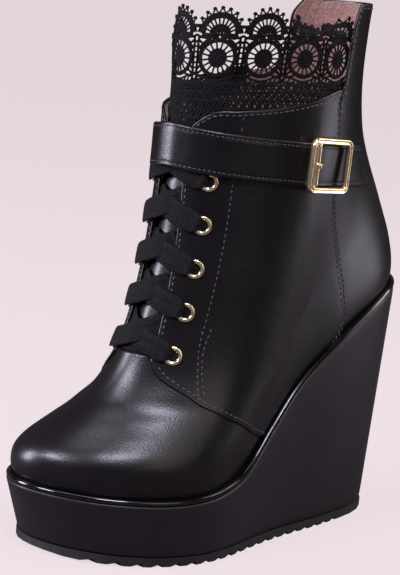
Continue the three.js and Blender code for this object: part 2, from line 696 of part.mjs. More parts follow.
function pullLink() {
  const inner = 3.4;
  const drop = 5.5;
  const side = (x) => box(LINK_WIRE, LINK_WIRE, drop + LINK_WIRE, x, hinge.y, hinge.z - drop / 2);
  const across = (z) => box(inner + 2 * LINK_WIRE, LINK_WIRE, LINK_WIRE, 0, hinge.y, z);
  const pin = new THREE.CylinderGeometry(LINK_WIRE / 2, LINK_WIRE / 2, inner + LINK_WIRE, 8);
  pin.rotateZ(Math.PI / 2).translate(0, hinge.y, hinge.z);
  const arm = (inner + LINK_WIRE) / 2;
  return join([side(-arm), side(arm), across(hinge.z - drop), pin]);
}

function pullTab() {
  const top = hinge.z - 5.5 - LINK_WIRE / 2 - GAP;
  const outline = new THREE.Shape();
  const w = PULL_WIDTH / 2;
  outline.moveTo(-w + 1.5, top);
  outline.lineTo(w - 1.5, top);
  outline.lineTo(w, top - 4);
  outline.lineTo(w, top - PULL_LENGTH + 2);
  outline.quadraticCurveTo(w, top - PULL_LENGTH, w - 2, top - PULL_LENGTH);
  outline.lineTo(-w + 2, top - PULL_LENGTH);
  outline.quadraticCurveTo(-w, top - PULL_LENGTH, -w, top - PULL_LENGTH + 2);
  outline.lineTo(-w, top - 4);
  const tab = extruded(outline, 1.8, 3);
  return tab.applyMatrix4(FRONT_VIEW).translate(0, hinge.y + 0.9, 0);
}

// Crochet cuff: flat units, one for each scallop, cut with their holes, joined and bent onto the shaft
const CUFF_REFERENCE = 222;
const FOOT_RIPPLE = 0.6;

function arcTable() {
  const degrees = Array.from({ length: 141 }, (_, i) => i);
  const lengths = [0];
  let before = onShaft(0, CUFF_REFERENCE, -WALL);
  for (const degree of degrees.slice(1)) {
    const here = onShaft(degree, CUFF_REFERENCE, -WALL);
    lengths.push(lengths[degree - 1] + here.distanceTo(before));
    before = here;
  }
  return { degrees, lengths };
}

const arcs = arcTable();
const cuffHalf = arcs.lengths[CUFF_END_TURN];
const scallop = 2 * cuffHalf / SCALLOP_COUNT;

function turnAtArc(arc) {
  const along = Math.abs(arc);
  const i = Math.max(1, arcs.lengths.findIndex((length) => length >= along));
  const share = (along - arcs.lengths[i - 1]) / (arcs.lengths[i] - arcs.lengths[i - 1]);
  return Math.sign(arc) * (arcs.degrees[i - 1] + share);
}

function cuffFoot(arc) {
  const turn = Math.abs(turnAtArc(arc));
  const y = onShaft(turn, COLLAR_HEIGHT, 0).y;
  const side = COLLAR_HEIGHT - 5 + 9 * Math.max(0, (y + 14) / (TAB_FRONT_Y + 14)) ** 1.5;
  return lerp(COLLAR_HEIGHT - 12, side, smoothstep(turn, 12, 34));
}

const cuffValley = (arc) => lerp(CUFF_FRONT_HEIGHT, CUFF_BACK_HEIGHT, Math.abs(arc) / cuffHalf);

// A gap in the lace, four-sided or pointed towards the hub, a little askew as crochet is
const ASKEW = 0.13;

function gap(x, y, width, height, lean, pointed = false) {
  const hole = new THREE.Path();
  const spin = lean + ASKEW;
  const corner = (u, v) => [
    x + u * width / 2 * Math.cos(spin) + v * height / 2 * Math.sin(spin),
    y - u * width / 2 * Math.sin(spin) + v * height / 2 * Math.cos(spin),
  ];
  hole.moveTo(...corner(pointed ? 0 : -0.7, -1));
  if (!pointed) hole.lineTo(...corner(0.7, -1));
  hole.lineTo(...corner(1, 1));
  hole.lineTo(...corner(-1, 1));
  return hole;
}

function cuffUnit(index) {
  const left = cuffHalf * (2 * index / SCALLOP_COUNT - 1);
  const right = cuffHalf * (2 * (index + 1) / SCALLOP_COUNT - 1);
  const middle = (left + right) / 2;
  const unit = new THREE.Shape();
  const footSteps = 4;
  for (let i = 0; i <= footSteps; i += 1) {
    const x = lerp(left, right, i / footSteps);
    const point = [x, cuffFoot(x) - (i % 2) * FOOT_RIPPLE];
    if (i === 0) unit.moveTo(...point);
    else unit.lineTo(...point);
  }
  const topSteps = 7;
  for (let i = topSteps; i >= 0; i -= 1) {
    const x = lerp(left, right, i / topSteps);
    unit.lineTo(x, cuffValley(x) + SCALLOP_RISE * Math.sin(Math.PI * i / topSteps) ** 0.7);
  }
  const centre = cuffValley(middle) - 12;
  const spoke = scallop * 0.36;
  for (const k of [-2, -1, 0, 1, 2]) {
    const lean = k * 0.46;
    const y = centre + 1.6 + spoke * Math.cos(lean);
    unit.holes.push(gap(middle + spoke * Math.sin(lean), y, 2.8, 4.8, lean, true));
  }
  for (const k of [-1, 1]) {
    unit.holes.push(gap(middle + k * 3.3, centre, 3, 4, k * 0.9));
    unit.holes.push(gap(middle + k * 5.4, centre - 8.5, 3, 4.4, -k * 0.5));
  }
  unit.holes.push(gap(middle, centre - 7.4, 3, 4.4, 0));
  return extruded(unit, CUFF_THICKNESS, 1);
}

function cuff() {
  const flat = join(Array.from({ length: SCALLOP_COUNT }, (_, i) => cuffUnit(i)));
  const position = flat.attributes.position;
  for (let i = 0; i < position.count; i += 1) {
    const lift = position.getZ(i) - WALL - GAP - CUFF_THICKNESS;
    const bent = onShaft(turnAtArc(position.getX(i)), position.getY(i), lift);
    position.setXYZ(i, bent.x, bent.y, bent.z);
  }
  return flat;
}

// Finishes
const finish = (color, roughness, metalness = 0) => (
  new THREE.MeshStandardMaterial({ color, roughness, metalness }));
const smoothLeather = finish('#17151a', 0.42);
const wrapLeather = finish('#1b181d', 0.5);
const blackRubber = finish('#141315', 0.75);
const glossyBead = finish('#0c0b0e', 0.15);
const insoleCloth = finish('#8d6d64', 0.9);
const braid = finish('#131214', 0.85);
const crochet = finish('#0f0e10', 0.9);
const paleGold = finish('#d9bf9a', 0.22, 1);
const zipTape = finish('#100f12', 0.8);
const zipMetal = finish('#8d7f6c', 0.35, 1);

const boot = new THREE.Group();

function piece(name, geometry, material) {
  const mesh = new THREE.Mesh(geometry, material);
  mesh.name = name;
  boot.add(mesh);
}

piece('outsole', outsole(), blackRubber);
piece('wedge', wedge(), wrapLeather);
piece('welt_bead', welt(), glossyBead);
piece('insole', insole(), insoleCloth);
piece('upper', upper(), smoothLeather);
piece('tongue', tongue(), smoothLeather);
piece('vamp_seam_outer', seam(VAMP_SEAM, 1), smoothLeather);
piece('vamp_seam_inner', seam(VAMP_SEAM, -1), smoothLeather);
piece('back_seam_outer', seam(BACK_SEAM, 1), smoothLeather);
piece('back_seam_inner', seam(BACK_SEAM, -1), smoothLeather);
for (const hole of eyelets) {
  piece(`eyelet_${hole.side > 0 ? 'outer' : 'inner'}_${hole.row + 1}`, eyelet(hole), paleGold);
}
piece('lace_bar', laceBar(), braid);
for (let row = 0; row < EYELET_ROWS - 1; row += 1) piece(`lace_cross_${row + 1}`, laceCross(row), braid);
piece('strap', strapPiece(-BILLET_END_TURN, STRAP_END_TURN, 26, 0), smoothLeather);
piece('strap_billet', strapPiece(STRAP_END_TURN + 1, BILLET_END_TURN, 6, 8), smoothLeather);
piece('buckle_frame', buckleFrame(), paleGold);
piece('buckle_prong', buckleProng(), paleGold);
piece('zip_tape', zipStrip(ZIP_TAPE_WIDTH, TAPE_SEAT, TAPE_TOP, 8), zipTape);
piece('zip_chain', zipStrip(ZIP_CHAIN_WIDTH, TAPE_TOP + GAP, CHAIN_TOP, 8), zipMetal);
piece('zip_slider', zipSlider(), zipMetal);
piece('zip_pull_link', pullLink(), zipMetal);
piece('zip_pull_tab', pullTab(), smoothLeather);
piece('lace_cuff', cuff(), crochet);

// The origin is the middle of the foot's outline on the floor
const bounds = new THREE.Box3().setFromObject(boot);
boot.position.set(-(bounds.min.x + bounds.max.x) / 2, -(bounds.min.y + bounds.max.y) / 2, 0);

export default boot;
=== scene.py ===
import math

import bpy
import numpy as np
from mathutils import Matrix, Vector


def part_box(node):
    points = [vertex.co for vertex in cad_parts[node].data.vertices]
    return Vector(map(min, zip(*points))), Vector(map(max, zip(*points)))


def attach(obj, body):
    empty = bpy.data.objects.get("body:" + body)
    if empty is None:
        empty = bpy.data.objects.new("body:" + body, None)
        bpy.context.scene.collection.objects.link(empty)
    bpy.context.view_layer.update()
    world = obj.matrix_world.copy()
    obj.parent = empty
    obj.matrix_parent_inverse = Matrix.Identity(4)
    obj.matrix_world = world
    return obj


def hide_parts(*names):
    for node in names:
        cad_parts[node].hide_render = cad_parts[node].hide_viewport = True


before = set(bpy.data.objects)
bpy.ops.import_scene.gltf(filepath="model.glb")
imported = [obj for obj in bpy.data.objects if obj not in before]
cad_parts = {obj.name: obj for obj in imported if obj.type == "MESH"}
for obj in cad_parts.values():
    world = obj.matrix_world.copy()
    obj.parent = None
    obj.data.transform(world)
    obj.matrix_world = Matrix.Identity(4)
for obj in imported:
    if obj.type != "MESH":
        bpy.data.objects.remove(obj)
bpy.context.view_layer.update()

# Studio: the camera stands in front of the toe on the outer side, a little above, and leans as the
# photographer's did. The floor and the sky are pale, and black leather sees dark card round the boot,
# so that only the soft boxes show in it.
VIEW_AZIMUTH = math.radians(43.4)
VIEW_ELEVATION = math.radians(10.6)
VIEW_ROLL = math.radians(4.5)
VIEW_DISTANCE = 0.8
VIEW_LENS = 106.5
VIEW_TARGET = Vector((0.0045, -0.0204, 0.1182))


def linear(code):
    """Linear colour of an sRGB hex value."""
    channels = [int(code[i:i + 2], 16) / 255 for i in (1, 3, 5)]
    return [c / 12.92 if c <= 0.04045 else ((c + 0.055) / 1.055) ** 2.4 for c in channels] + [1.0]


def node(tree, kind, settings=None, links=None):
    """Adds a node: settings go to its sockets or properties by name, links feed its inputs."""
    made = tree.nodes.new(kind)
    for name, value in (settings or {}).items():
        if name in made.inputs:
            made.inputs[name].default_value = value
        else:
            setattr(made, name, value)
    for name, source in (links or {}).items():
        tree.links.new(source, made.inputs[name])
    return made


def put(name, data):
    """A new object in the scene."""
    made = bpy.data.objects.new(name, data)
    bpy.context.scene.collection.objects.link(made)
    return made


view_back = Vector((
    math.sin(VIEW_AZIMUTH) * math.cos(VIEW_ELEVATION),
    -math.cos(VIEW_AZIMUTH) * math.cos(VIEW_ELEVATION),
    math.sin(VIEW_ELEVATION),
))
view_right = (-view_back).cross(Vector((0, 0, 1))).normalized()
view_up = view_right.cross(-view_back)
turned_right = view_right * math.cos(VIEW_ROLL) + view_up * math.sin(VIEW_ROLL)
turned_up = view_up * math.cos(VIEW_ROLL) - view_right * math.sin(VIEW_ROLL)
camera_data = bpy.data.cameras.new("photo_camera")
camera_data.lens = VIEW_LENS
camera = put("photo_camera", camera_data)
axes = Matrix((turned_right, turned_up, view_back)).transposed().to_4x4()
camera.matrix_world = Matrix.Translation(VIEW_TARGET + view_back * VIEW_DISTANCE) @ axes
bpy.context.scene.camera = camera
bpy.context.scene.view_settings.view_transform = "Standard"

SOFT_BOXES = [
    # name, place, aim, width, height, watts, colour
    ("front_box", (-0.90, -0.98, 0.40), (0.0, -0.03, 0.15), 0.4, 0.7, 18, "#efeaff"),
    ("toe_box", (-0.14, -1.10, 0.88), (0.0, -0.08, 0.06), 0.35, 0.35, 12.5, "#efebff"),
    ("crown_box", (0.67, -0.46, 1.18), (0.02, -0.06, 0.08), 0.35, 0.35, 12, "#ece8ff"),
    ("heel_box", (0.52, 0.84, 0.10), (0.03, 0.07, 0.12), 0.22, 0.18, 0.7, "#f4eefc"),
    ("side_box", (1.15, -0.10, 0.75), (0.02, 0.02, 0.10), 0.5, 1.0, 2, "#fff4ee"),
    ("back_box", (0.55, 1.05, 0.85), (0.0, 0.05, 0.15), 0.6, 0.9, 9, "#fff6f2"),
    ("top_box", (-0.10, -0.10, 1.30), (0.0, 0.0, 0.12), 0.5, 0.5, 3, "#f6f2ff"),
]
for name, place, aim, width, height, watts, colour in SOFT_BOXES:
    lamp = bpy.data.lights.new(name, "AREA")
    lamp.shape = "RECTANGLE"
    lamp.size, lamp.size_y, lamp.energy = width, height, watts
    lamp.color = linear(colour)[:3]
    box = put(name, lamp)
    box.location = place
    box.rotation_euler = (Vector(aim) - Vector(place)).to_track_quat("-Z", "Y").to_euler()

world = bpy.data.worlds.new("studio")
world.use_nodes = True
world.node_tree.nodes.clear()
seen = node(world.node_tree, "ShaderNodeBackground", {"Color": linear("#ece0e3"), "Strength": 1.0})
card = node(world.node_tree, "ShaderNodeBackground", {"Color": linear("#8f868c"), "Strength": 0.20})
path = node(world.node_tree, "ShaderNodeLightPath")
mixed = node(world.node_tree, "ShaderNodeMixShader", {}, {0: path.outputs["Is Camera Ray"]})
world.node_tree.links.new(card.outputs[0], mixed.inputs[1])
world.node_tree.links.new(seen.outputs[0], mixed.inputs[2])
node(world.node_tree, "ShaderNodeOutputWorld", {}, {"Surface": mixed.outputs[0]})
bpy.context.scene.world = world

FLOOR_HALF = 60.0
floor_mesh = bpy.data.meshes.new("floor")
floor_corners = [(x * FLOOR_HALF, y * FLOOR_HALF, 0.0) for x, y in ((-1, -1), (1, -1), (1, 1), (-1, 1))]
floor_mesh.from_pydata(floor_corners, [], [(0, 1, 2, 3)])
floor = put("floor", floor_mesh)
paper = bpy.data.materials.new("paper_sweep")
paper.use_nodes = True
lit_paper = paper.node_tree.nodes["Principled BSDF"]
lit_paper.inputs["Base Color"].default_value = linear("#464143")
lit_paper.inputs["Roughness"].default_value = 0.95
lit_paper.inputs["Emission Color"].default_value = linear("#ecdfe2")
lit_paper.inputs["Emission Strength"].default_value = 0.90
dark_card = node(paper.node_tree, "ShaderNodeBsdfDiffuse", {"Color": linear("#5a5457")})
ray = node(paper.node_tree, "ShaderNodeLightPath")
either = node(paper.node_tree, "ShaderNodeMixShader", {}, {0: ray.outputs["Is Camera Ray"]})
paper.node_tree.links.new(dark_card.outputs[0], either.inputs[1])
paper.node_tree.links.new(lit_paper.outputs[0], either.inputs[2])
paper.node_tree.links.new(either.outputs[0], paper.node_tree.nodes["Material Output"].inputs["Surface"])
floor_mesh.materials.append(paper)

# Outsole: a thin moulded rubber sheet under the platform, with sawtooth lugs across it and a plain
# heel piece. The rubber is matt and takes a faint dust.
def principled(name, settings=None):
    """A new material with its tree, shader and the boot's own coordinates."""
    made = bpy.data.materials.new(name)
    made.use_nodes = True
    tree = made.node_tree
    shader = tree.nodes["Principled BSDF"]
    for label, value in (settings or {}).items():
        shader.inputs[label].default_value = value
    return made, tree, shader, node(tree, "ShaderNodeTexCoord")


def noise(tree, where, size_mm, detail=2.0, distortion=0.0):
    """Cloudy texture from 0 to 1, with features size_mm wide."""
    settings = {"Scale": 1000 / size_mm, "Detail": detail, "Distortion": distortion}
    return node(tree, "ShaderNodeTexNoise", settings, {"Vector": where.outputs["Object"]}).outputs["Fac"]


def cells(tree, where, size_mm):
    """Distance from the middle of a grain cell size_mm wide."""
    made = node(tree, "ShaderNodeTexVoronoi", {"Scale": 1000 / size_mm}, {"Vector": where.outputs["Object"]})
    return made.outputs["Distance"]


def tint(tree, shader, factor, low, high):
    """Base colour between two sRGB hex values, by a factor from 0 to 1."""
    mix = node(tree, "ShaderNodeMix", {"data_type": "RGBA"})
    tree.links.new(factor, mix.inputs["Factor"])
    mix.inputs[6].default_value = linear(low)
    mix.inputs[7].default_value = linear(high)
    tree.links.new(mix.outputs[2], shader.inputs["Base Color"])


def bump(tree, shader, height, depth_mm, strength=1.0, below=None):
    """Relief of a height from 0 to 1, depth_mm deep; below is the relief that lies under it."""
    settings = {"Strength": strength, "Distance": depth_mm / 1000}
    made = node(tree, "ShaderNodeBump", settings, {"Height": height})
    if below is not None:
        tree.links.new(below, made.inputs["Normal"])
    tree.links.new(made.outputs["Normal"], shader.inputs["Normal"])
    return made.outputs["Normal"]


def assign(name, material):
    """Dresses a CAD piece, whose form is final, in a procedural material."""
    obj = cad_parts[name]
    obj.data.materials.clear()
    obj.data.materials.append(material)


rubber, tree, shader, where = principled("moulded_black_rubber", {"Roughness": 0.68})
dust = noise(tree, where, 9, 6.0)
tint(tree, shader, dust, "#161316", "#262226")
pits = noise(tree, where, 0.7, 3.0)
bump(tree, shader, pits, 0.15, 0.5)
assign("outsole", rubber)

# The last: the shape that the whole upper is pulled over. Every piece on the foot is placed by its turn
# round the last, 0 at the toe and 180 at the heel, positive on the outer side, and by its level, from 0
# at the feather line to 16 at the top, or by its height above the floor. All of it is in millimetres.
FOOT_LENGTH = 222
HALF_LENGTH = FOOT_LENGTH / 2
BALL_WIDTH = 97
PLATFORM_HEIGHT = 29
HEEL_HEIGHT = 117
TOE_SPRING = 3
TOE_SWING = 15
SHAFT_DEPTH = 116
SHAFT_WIDTH = 75
SHAFT_BACKSET = 13
FRONT_TOP_HEIGHT = 250
BACK_TOP_HEIGHT = 258
WALL = 2
RAND_MARGIN = 3.8
GAP = 0.3
TOP_LEVEL = 16
# Columns: frontReach, frontRise, heelReach, heelRise, leg, fullness, follow, ridge
SECTIONS = np.array([
    [1.0, 0, 1.0, 0, 0, 1.0, 1, 0],
    [1.021, 0.032, 1.012, 0.05, 0, 1.02, 1, 0],
    [1.029, 0.064, 1.014, 0.099, 0.02, 1.023, 0.99, 0],
    [1.015, 0.089, 1.009, 0.149, 0.06, 1.015, 0.96, 0.03],
    [0.968, 0.115, 1.001, 0.202, 0.12, 1.0, 0.92, 0.09],
    [0.908, 0.144, 0.99, 0.255, 0.2, 0.985, 0.86, 0.16],
    [0.847, 0.183, 0.981, 0.312, 0.3, 0.968, 0.78, 0.22],
    [0.814, 0.239, 0.978, 0.369, 0.42, 0.96, 0.68, 0.26],
    [0.815, 0.307, 0.974, 0.426, 0.55, 0.961, 0.56, 0.27],
    [0.856, 0.385, 0.971, 0.496, 0.7, 0.971, 0.42, 0.25],
    [0.919, 0.472, 0.977, 0.567, 0.84, 0.981, 0.28, 0.22],
    [0.975, 0.564, 0.984, 0.645, 0.94, 0.994, 0.15, 0.19],
    [1.011, 0.656, 0.993, 0.716, 1, 1, 0.06, 0.17],
    [0.989, 0.748, 0.986, 0.787, 1, 1, 0, 0.15],
    [0.967, 0.839, 0.993, 0.858, 1, 1, 0, 0.13],
    [0.944, 0.917, 1.007, 0.929, 1, 1, 0, 0.12],
    [0.922, 1, 1.028, 1, 1, 1, 0, 0.12],
])
LATERAL_WIDTHS = [0.555, 0.6, 0.55, 0.385, 0.415, 0.52, 0.53]
MEDIAL_WIDTHS = [0.555, 0.6, 0.575, 0.36, 0.365, 0.48, 0.53]
WIDTH_STATIONS = [0, 30, 60, 90, 120, 150, 180]
ARCH_STATIONS = [0, 0.12, 0.25, 0.33, 0.41, 0.5, 0.58, 0.69, 0.82, 0.92, 1]
ARCH_RISES = [0, 0, 0, 0.02, 0.09, 0.3, 0.5, 0.69, 0.86, 0.96, 1]


def lerp(a, b, t):
    return a + (b - a) * t


def smooth(value, low, high):
    t = np.clip((np.asarray(value, float) - low) / (high - low), 0, 1)
    return t * t * (3 - 2 * t)


def through(stations, values, at):
    """Smooth curve through a short table; values may have several columns."""
    s, v = np.asarray(stations, float), np.asarray(values, float)
    slopes = np.gradient(v, s, axis=0)
    q = np.clip(np.asarray(at, float), s[0], s[-1])
    i = np.clip(np.searchsorted(s, q, side="right") - 1, 0, len(s) - 2)
    step = s[i + 1] - s[i]
    t = (q - s[i]) / step
    if v.ndim == 2:
        t, step = t[..., None], step[..., None]
    return ((2 * t ** 3 - 3 * t ** 2 + 1) * v[i] + (t ** 3 - 2 * t ** 2 + t) * step * slopes[i]
            + (3 * t ** 2 - 2 * t ** 3) * v[i + 1] + (t ** 3 - t ** 2) * step * slopes[i + 1])


def toe_lift(y):
    return TOE_SPRING * np.maximum(0, 1 - (y + HALF_LENGTH) / FOOT_LENGTH / 0.2) ** 2


def arch_height(y):
    share = (y + HALF_LENGTH) / FOOT_LENGTH
    return lerp(PLATFORM_HEIGHT, HEEL_HEIGHT, through(ARCH_STATIONS, ARCH_RISES, share)) + toe_lift(y)


def half_width(turn):
    around = np.degrees(np.abs(turn))
    outer = through(WIDTH_STATIONS, LATERAL_WIDTHS, around)
    return BALL_WIDTH * np.where(turn >= 0, outer, through(WIDTH_STATIONS, MEDIAL_WIDTHS, around))


def toe_drift(turn):
    return -TOE_SWING * np.maximum(0, np.cos(turn)) ** 1.5


def folded(degrees):
    """Turn in radians, brought between minus and plus half a circle."""
    return np.radians((np.asarray(degrees, float) + 180) % 360 - 180)


def skin_point(level, degrees):
    level, degrees = np.broadcast_arrays(np.asarray(level, float), np.asarray(degrees, float))
    turn = folded(degrees)
    row = through(range(TOP_LEVEL + 1), SECTIONS, level)
    front_reach, front_rise, heel_reach, heel_rise, leg, fullness, follow, ridge = np.moveaxis(row, -1, 0)
    share = (1 - np.cos(turn)) / 2
    reach = HALF_LENGTH - RAND_MARGIN
    front = -lerp(reach, SHAFT_DEPTH / 2 - SHAFT_BACKSET, leg) * front_reach
    back = lerp(reach, SHAFT_DEPTH / 2 + SHAFT_BACKSET, leg) * heel_reach
    toe_z, heel_z = arch_height(-reach), arch_height(reach)
    arch = arch_height(-reach * np.cos(turn)) - lerp(toe_z, heel_z, share)
    narrow = 1 - ridge * np.maximum(0, np.cos(turn)) ** 1.5
    width = lerp(half_width(turn), SHAFT_WIDTH / 2, leg) * narrow * fullness
    x = np.sin(turn) * (width - RAND_MARGIN * (1 - leg)) + toe_drift(turn) * np.maximum(0, 1 - leg) ** 3
    z = lerp(lerp(toe_z, FRONT_TOP_HEIGHT, front_rise), lerp(heel_z, BACK_TOP_HEIGHT, heel_rise), share)
    return np.stack([x, lerp(front, back, share), z + follow * arch + GAP], -1)


def run_length(path):
    """Length along a path, up to each of its points."""
    return np.concatenate([[0], np.cumsum(np.linalg.norm(np.diff(path, axis=0), axis=-1))])


def unit(v):
    return v / np.maximum(np.linalg.norm(v, axis=-1, keepdims=True), 1e-9)


def skin_normal(level, degrees):
    level, degrees = np.broadcast_arrays(np.asarray(level, float), np.asarray(degrees, float))
    along = skin_point(level, degrees + 1) - skin_point(level, degrees - 1)
    above, below = np.minimum(level + 0.02, TOP_LEVEL), np.maximum(level - 0.02, 0)
    return unit(np.cross(along, skin_point(above, degrees) - skin_point(below, degrees)))


def skin(level, degrees, lift):
    return skin_point(level, degrees) + skin_normal(level, degrees) * np.asarray(lift)[..., None]


# Table of levels against turn and height, read between its points
table_turns = np.arange(-180, 181, 2.0)
table_heights = np.arange(24, 264, 1.0)
table_levels = np.linspace(0, TOP_LEVEL, 321)
column_heights = skin_point(table_levels[:, None], table_turns[None, :])[..., 2]
LEVEL_TABLE = np.stack([np.interp(table_heights, column, table_levels) for column in column_heights.T])


def level_at(degrees, height):
    degrees, height = np.broadcast_arrays(np.asarray(degrees, float), np.asarray(height, float))
    a = np.clip(((degrees + 180) % 360) / 2, 0, len(table_turns) - 1.001)
    b = np.clip(height - table_heights[0], 0, len(table_heights) - 1.001)
    i, j = a.astype(int), b.astype(int)
    u, v = a - i, b - j
    return ((1 - u) * (1 - v) * LEVEL_TABLE[i, j] + u * (1 - v) * LEVEL_TABLE[i + 1, j]
            + (1 - u) * v * LEVEL_TABLE[i, j + 1] + u * v * LEVEL_TABLE[i + 1, j + 1])


def on_shaft(degrees, height, lift):
    return skin(level_at(degrees, height), degrees, lift)


def outline_at(degrees, inset, toe_cut=None, heel_cut=None):
    """Sole outline, drawn in by inset at the sides and by the two cuts at its ends."""
    turn = folded(degrees)
    front = -HALF_LENGTH + (inset if toe_cut is None else toe_cut)
    back = HALF_LENGTH - (inset if heel_cut is None else heel_cut)
    x = np.sin(turn) * (half_width(turn) - inset) + toe_drift(turn)
    return np.stack([x, lerp(front, back, (1 - np.cos(turn)) / 2), 0 * x], -1)


wedge_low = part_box("wedge")[0]
plan = outline_at(np.arange(0, 360, 7.5), 0)
SHIFT = np.array([wedge_low[0] - plan[:, 0].min() / 1000, wedge_low[1] + HALF_LENGTH / 1000, 0.0])


def build(name, points, faces, material, body="boot", slot="smooth_leather", uv=None):
    """A mesh piece from points in millimetres, its faces turned outwards, riding on its body."""
    points = np.asarray(points, float)
    mesh = bpy.data.meshes.new(name)
    mesh.from_pydata((points / 1000 + SHIFT).tolist(), [], [list(map(int, f)) for f in faces])
    mesh.polygons.foreach_set("use_smooth", [True] * len(mesh.polygons))
    if uv is not None:
        layer = mesh.uv_layers.new(name="UVMap")
        corners = np.zeros(len(mesh.loops), int)
        mesh.loops.foreach_get("vertex_index", corners)
        layer.data.foreach_set("uv", np.asarray(uv, float)[corners].ravel())
    mesh.materials.append(material)
    obj = put(name, mesh)
    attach(obj, body)
    return obj


def outward(points, faces):
    """Faces turned so that the closed mesh has a positive volume."""
    fan = np.array([[f[0], f[k], f[k + 1]] for f in faces for k in range(1, len(f) - 1)])
    a, b, c = points[fan[:, 0]], points[fan[:, 1]], points[fan[:, 2]]
    volume = np.einsum("ij,ij->i", a, np.cross(b, c)).sum()
    return faces if volume > 0 else [list(f)[::-1] for f in faces]


def tube_faces(here, ahead):
    """Faces between rows of closed rings and the rows ahead of them."""
    return np.stack([here, np.roll(here, -1, 1), np.roll(ahead, -1, 1), ahead], -1).reshape(-1, 4).tolist()


def gather(parts):
    """Points and faces of several meshes as one."""
    starts = np.cumsum([0] + [len(points) for points, _ in parts])
    faces = [[int(start) + i for i in face] for start, (_, rows) in zip(starts, parts) for face in rows]
    return np.concatenate([points for points, _ in parts]), faces


def shell(outer, inner):
    """Closed sheet between two grids of points."""
    half = outer.shape[0] * outer.shape[1]
    grid = np.arange(half).reshape(outer.shape[:2])
    left, right = grid[:, :-1], grid[:, 1:]
    quads = [np.stack([left[:-1], right[:-1], right[1:], left[1:]], -1).reshape(-1, 4)]
    kept, flipped = [0, 1, 2, 3], [0, 3, 2, 1]
    quads.append(quads[0][:, flipped] + half)
    for edge, order in ((grid[0], kept), (grid[-1], flipped), (grid[:, 0], flipped), (grid[:, -1], kept)):
        quads.append(np.stack([edge[:-1], edge[:-1] + half, edge[1:] + half, edge[1:]], -1)[:, order])
    points = np.concatenate([outer.reshape(-1, 3), inner.reshape(-1, 3)])
    return points, outward(points, np.concatenate(quads).tolist())


def wall(level, turn, outer, inner):
    """Closed wall along the last between two lifts, which may vary over it."""
    return shell(skin(level, turn, outer), skin(level, turn, inner))


# Wedge and platform: one light block wrapped in black leather, drawn in towards the floor at toe and
# heel. The wrap is glued flat, with its lower edge turned under the block, so it is satin and even.
SOLE_THICKNESS = 4
TOE_UNDERCUT = 8.9
HEEL_UNDERCUT = 12.6
SOLE_INSET = 0.4
WRAP_EDGE = 0.9

wrap, tree, shader, where = principled("satin_wrap_leather", {"Roughness": 0.42})
cloud = noise(tree, where, 22, 4.0)
tint(tree, shader, cloud, "#181317", "#221d22")
grain = cells(tree, where, 0.9)
soft = bump(tree, shader, grain, 0.05, 0.35)
bump(tree, shader, cloud, 0.6, 0.5, soft)

block_turns = np.arange(0, 360, 1.25)
block_rows = np.concatenate([[0, 0.004, 0.012], np.linspace(0.03, 0.97, 26), [0.988, 0.996, 1.0]])
block_low = outline_at(block_turns, SOLE_INSET, TOE_UNDERCUT + SOLE_INSET, HEEL_UNDERCUT + SOLE_INSET)
block_low[:, 2] = SOLE_THICKNESS + GAP + toe_lift(block_low[:, 1])
block_high = outline_at(block_turns, 0)
block_high[:, 2] = arch_height(block_high[:, 1])
block = block_low[None] + (block_high - block_low)[None] * block_rows[:, None, None]
middle = block.mean(axis=1, keepdims=True) * np.array([1, 1, 0])
turned = WRAP_EDGE * (np.exp(-block_rows / 0.01) + np.exp(-(1 - block_rows) / 0.01))
block[..., :2] -= (unit(block - middle) * turned[:, None, None])[..., :2]
columns = len(block_turns)
points = block.reshape(-1, 3)
cell = np.arange(len(points)).reshape(len(block_rows), columns)
faces = tube_faces(cell[:-1], cell[1:])
for row, order in ((cell[0], -1), (cell[-1], 1)):
    for k in range(columns // 2):
        quad = [row[k], row[k + 1], row[(columns - k - 1) % columns], row[(columns - k) % columns]]
        quad = [q for i, q in enumerate(quad) if q not in quad[:i]]
        faces.append(quad[::order])
wedge = build("wrapped_wedge", points, outward(points, faces), wrap, slot="wedge_wrap")
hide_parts("wedge")

# Bead: a glossy piped cord in black patent that covers the joint of wedge and upper all round.
BEAD_RADIUS = 1.25

patent, tree, shader, where = principled("black_patent_piping", {
    "Base Color": linear("#050405"), "Roughness": 0.14, "Coat Weight": 0.6, "Coat Roughness": 0.06})
ripple = noise(tree, where, 6, 2.0)
bump(tree, shader, ripple, 0.25, 0.6)


def sweep(path, up, profile, closed=False, widths=None):
    """Tube with a profile of (side, up) points along a path; up is one direction, or one for each point."""
    path, up, profile = np.asarray(path, float), unit(np.asarray(up, float)), np.asarray(profile, float)
    if closed:
        tangent = np.roll(path, -1, 0) - np.roll(path, 1, 0)
    else:
        tangent = np.gradient(path, axis=0)
    tangent = unit(tangent)
    side = unit(np.cross(tangent, up))
    lift = np.cross(side, tangent)
    scale = np.ones(len(path)) if widths is None else np.asarray(widths, float)
    points = (path[:, None] + side[:, None] * (profile[None, :, :1] * scale[:, None, None])
              + lift[:, None] * profile[None, :, 1:])
    rows, columns = points.shape[:2]
    ring = np.arange(rows * columns).reshape(rows, columns)
    ahead = np.roll(ring, -1, 0) if closed else ring[1:]
    here = ring if closed else ring[:-1]
    faces = tube_faces(here, ahead)
    if not closed:
        faces += [ring[0][::-1].tolist(), ring[-1].tolist()]
    flat = points.reshape(-1, 3)
    return flat, outward(flat, faces)


def round_profile(width, height, count, square=2.0):
    """Closed profile between an ellipse (square 2) and a rounded bar (square 4 or more)."""
    a = np.arange(count) * 2 * math.pi / count
    c, s = np.cos(a), np.sin(a)
    return np.stack([width / 2 * np.sign(c) * np.abs(c) ** (2 / square),
                     height / 2 * np.sign(s) * np.abs(s) ** (2 / square)], -1)


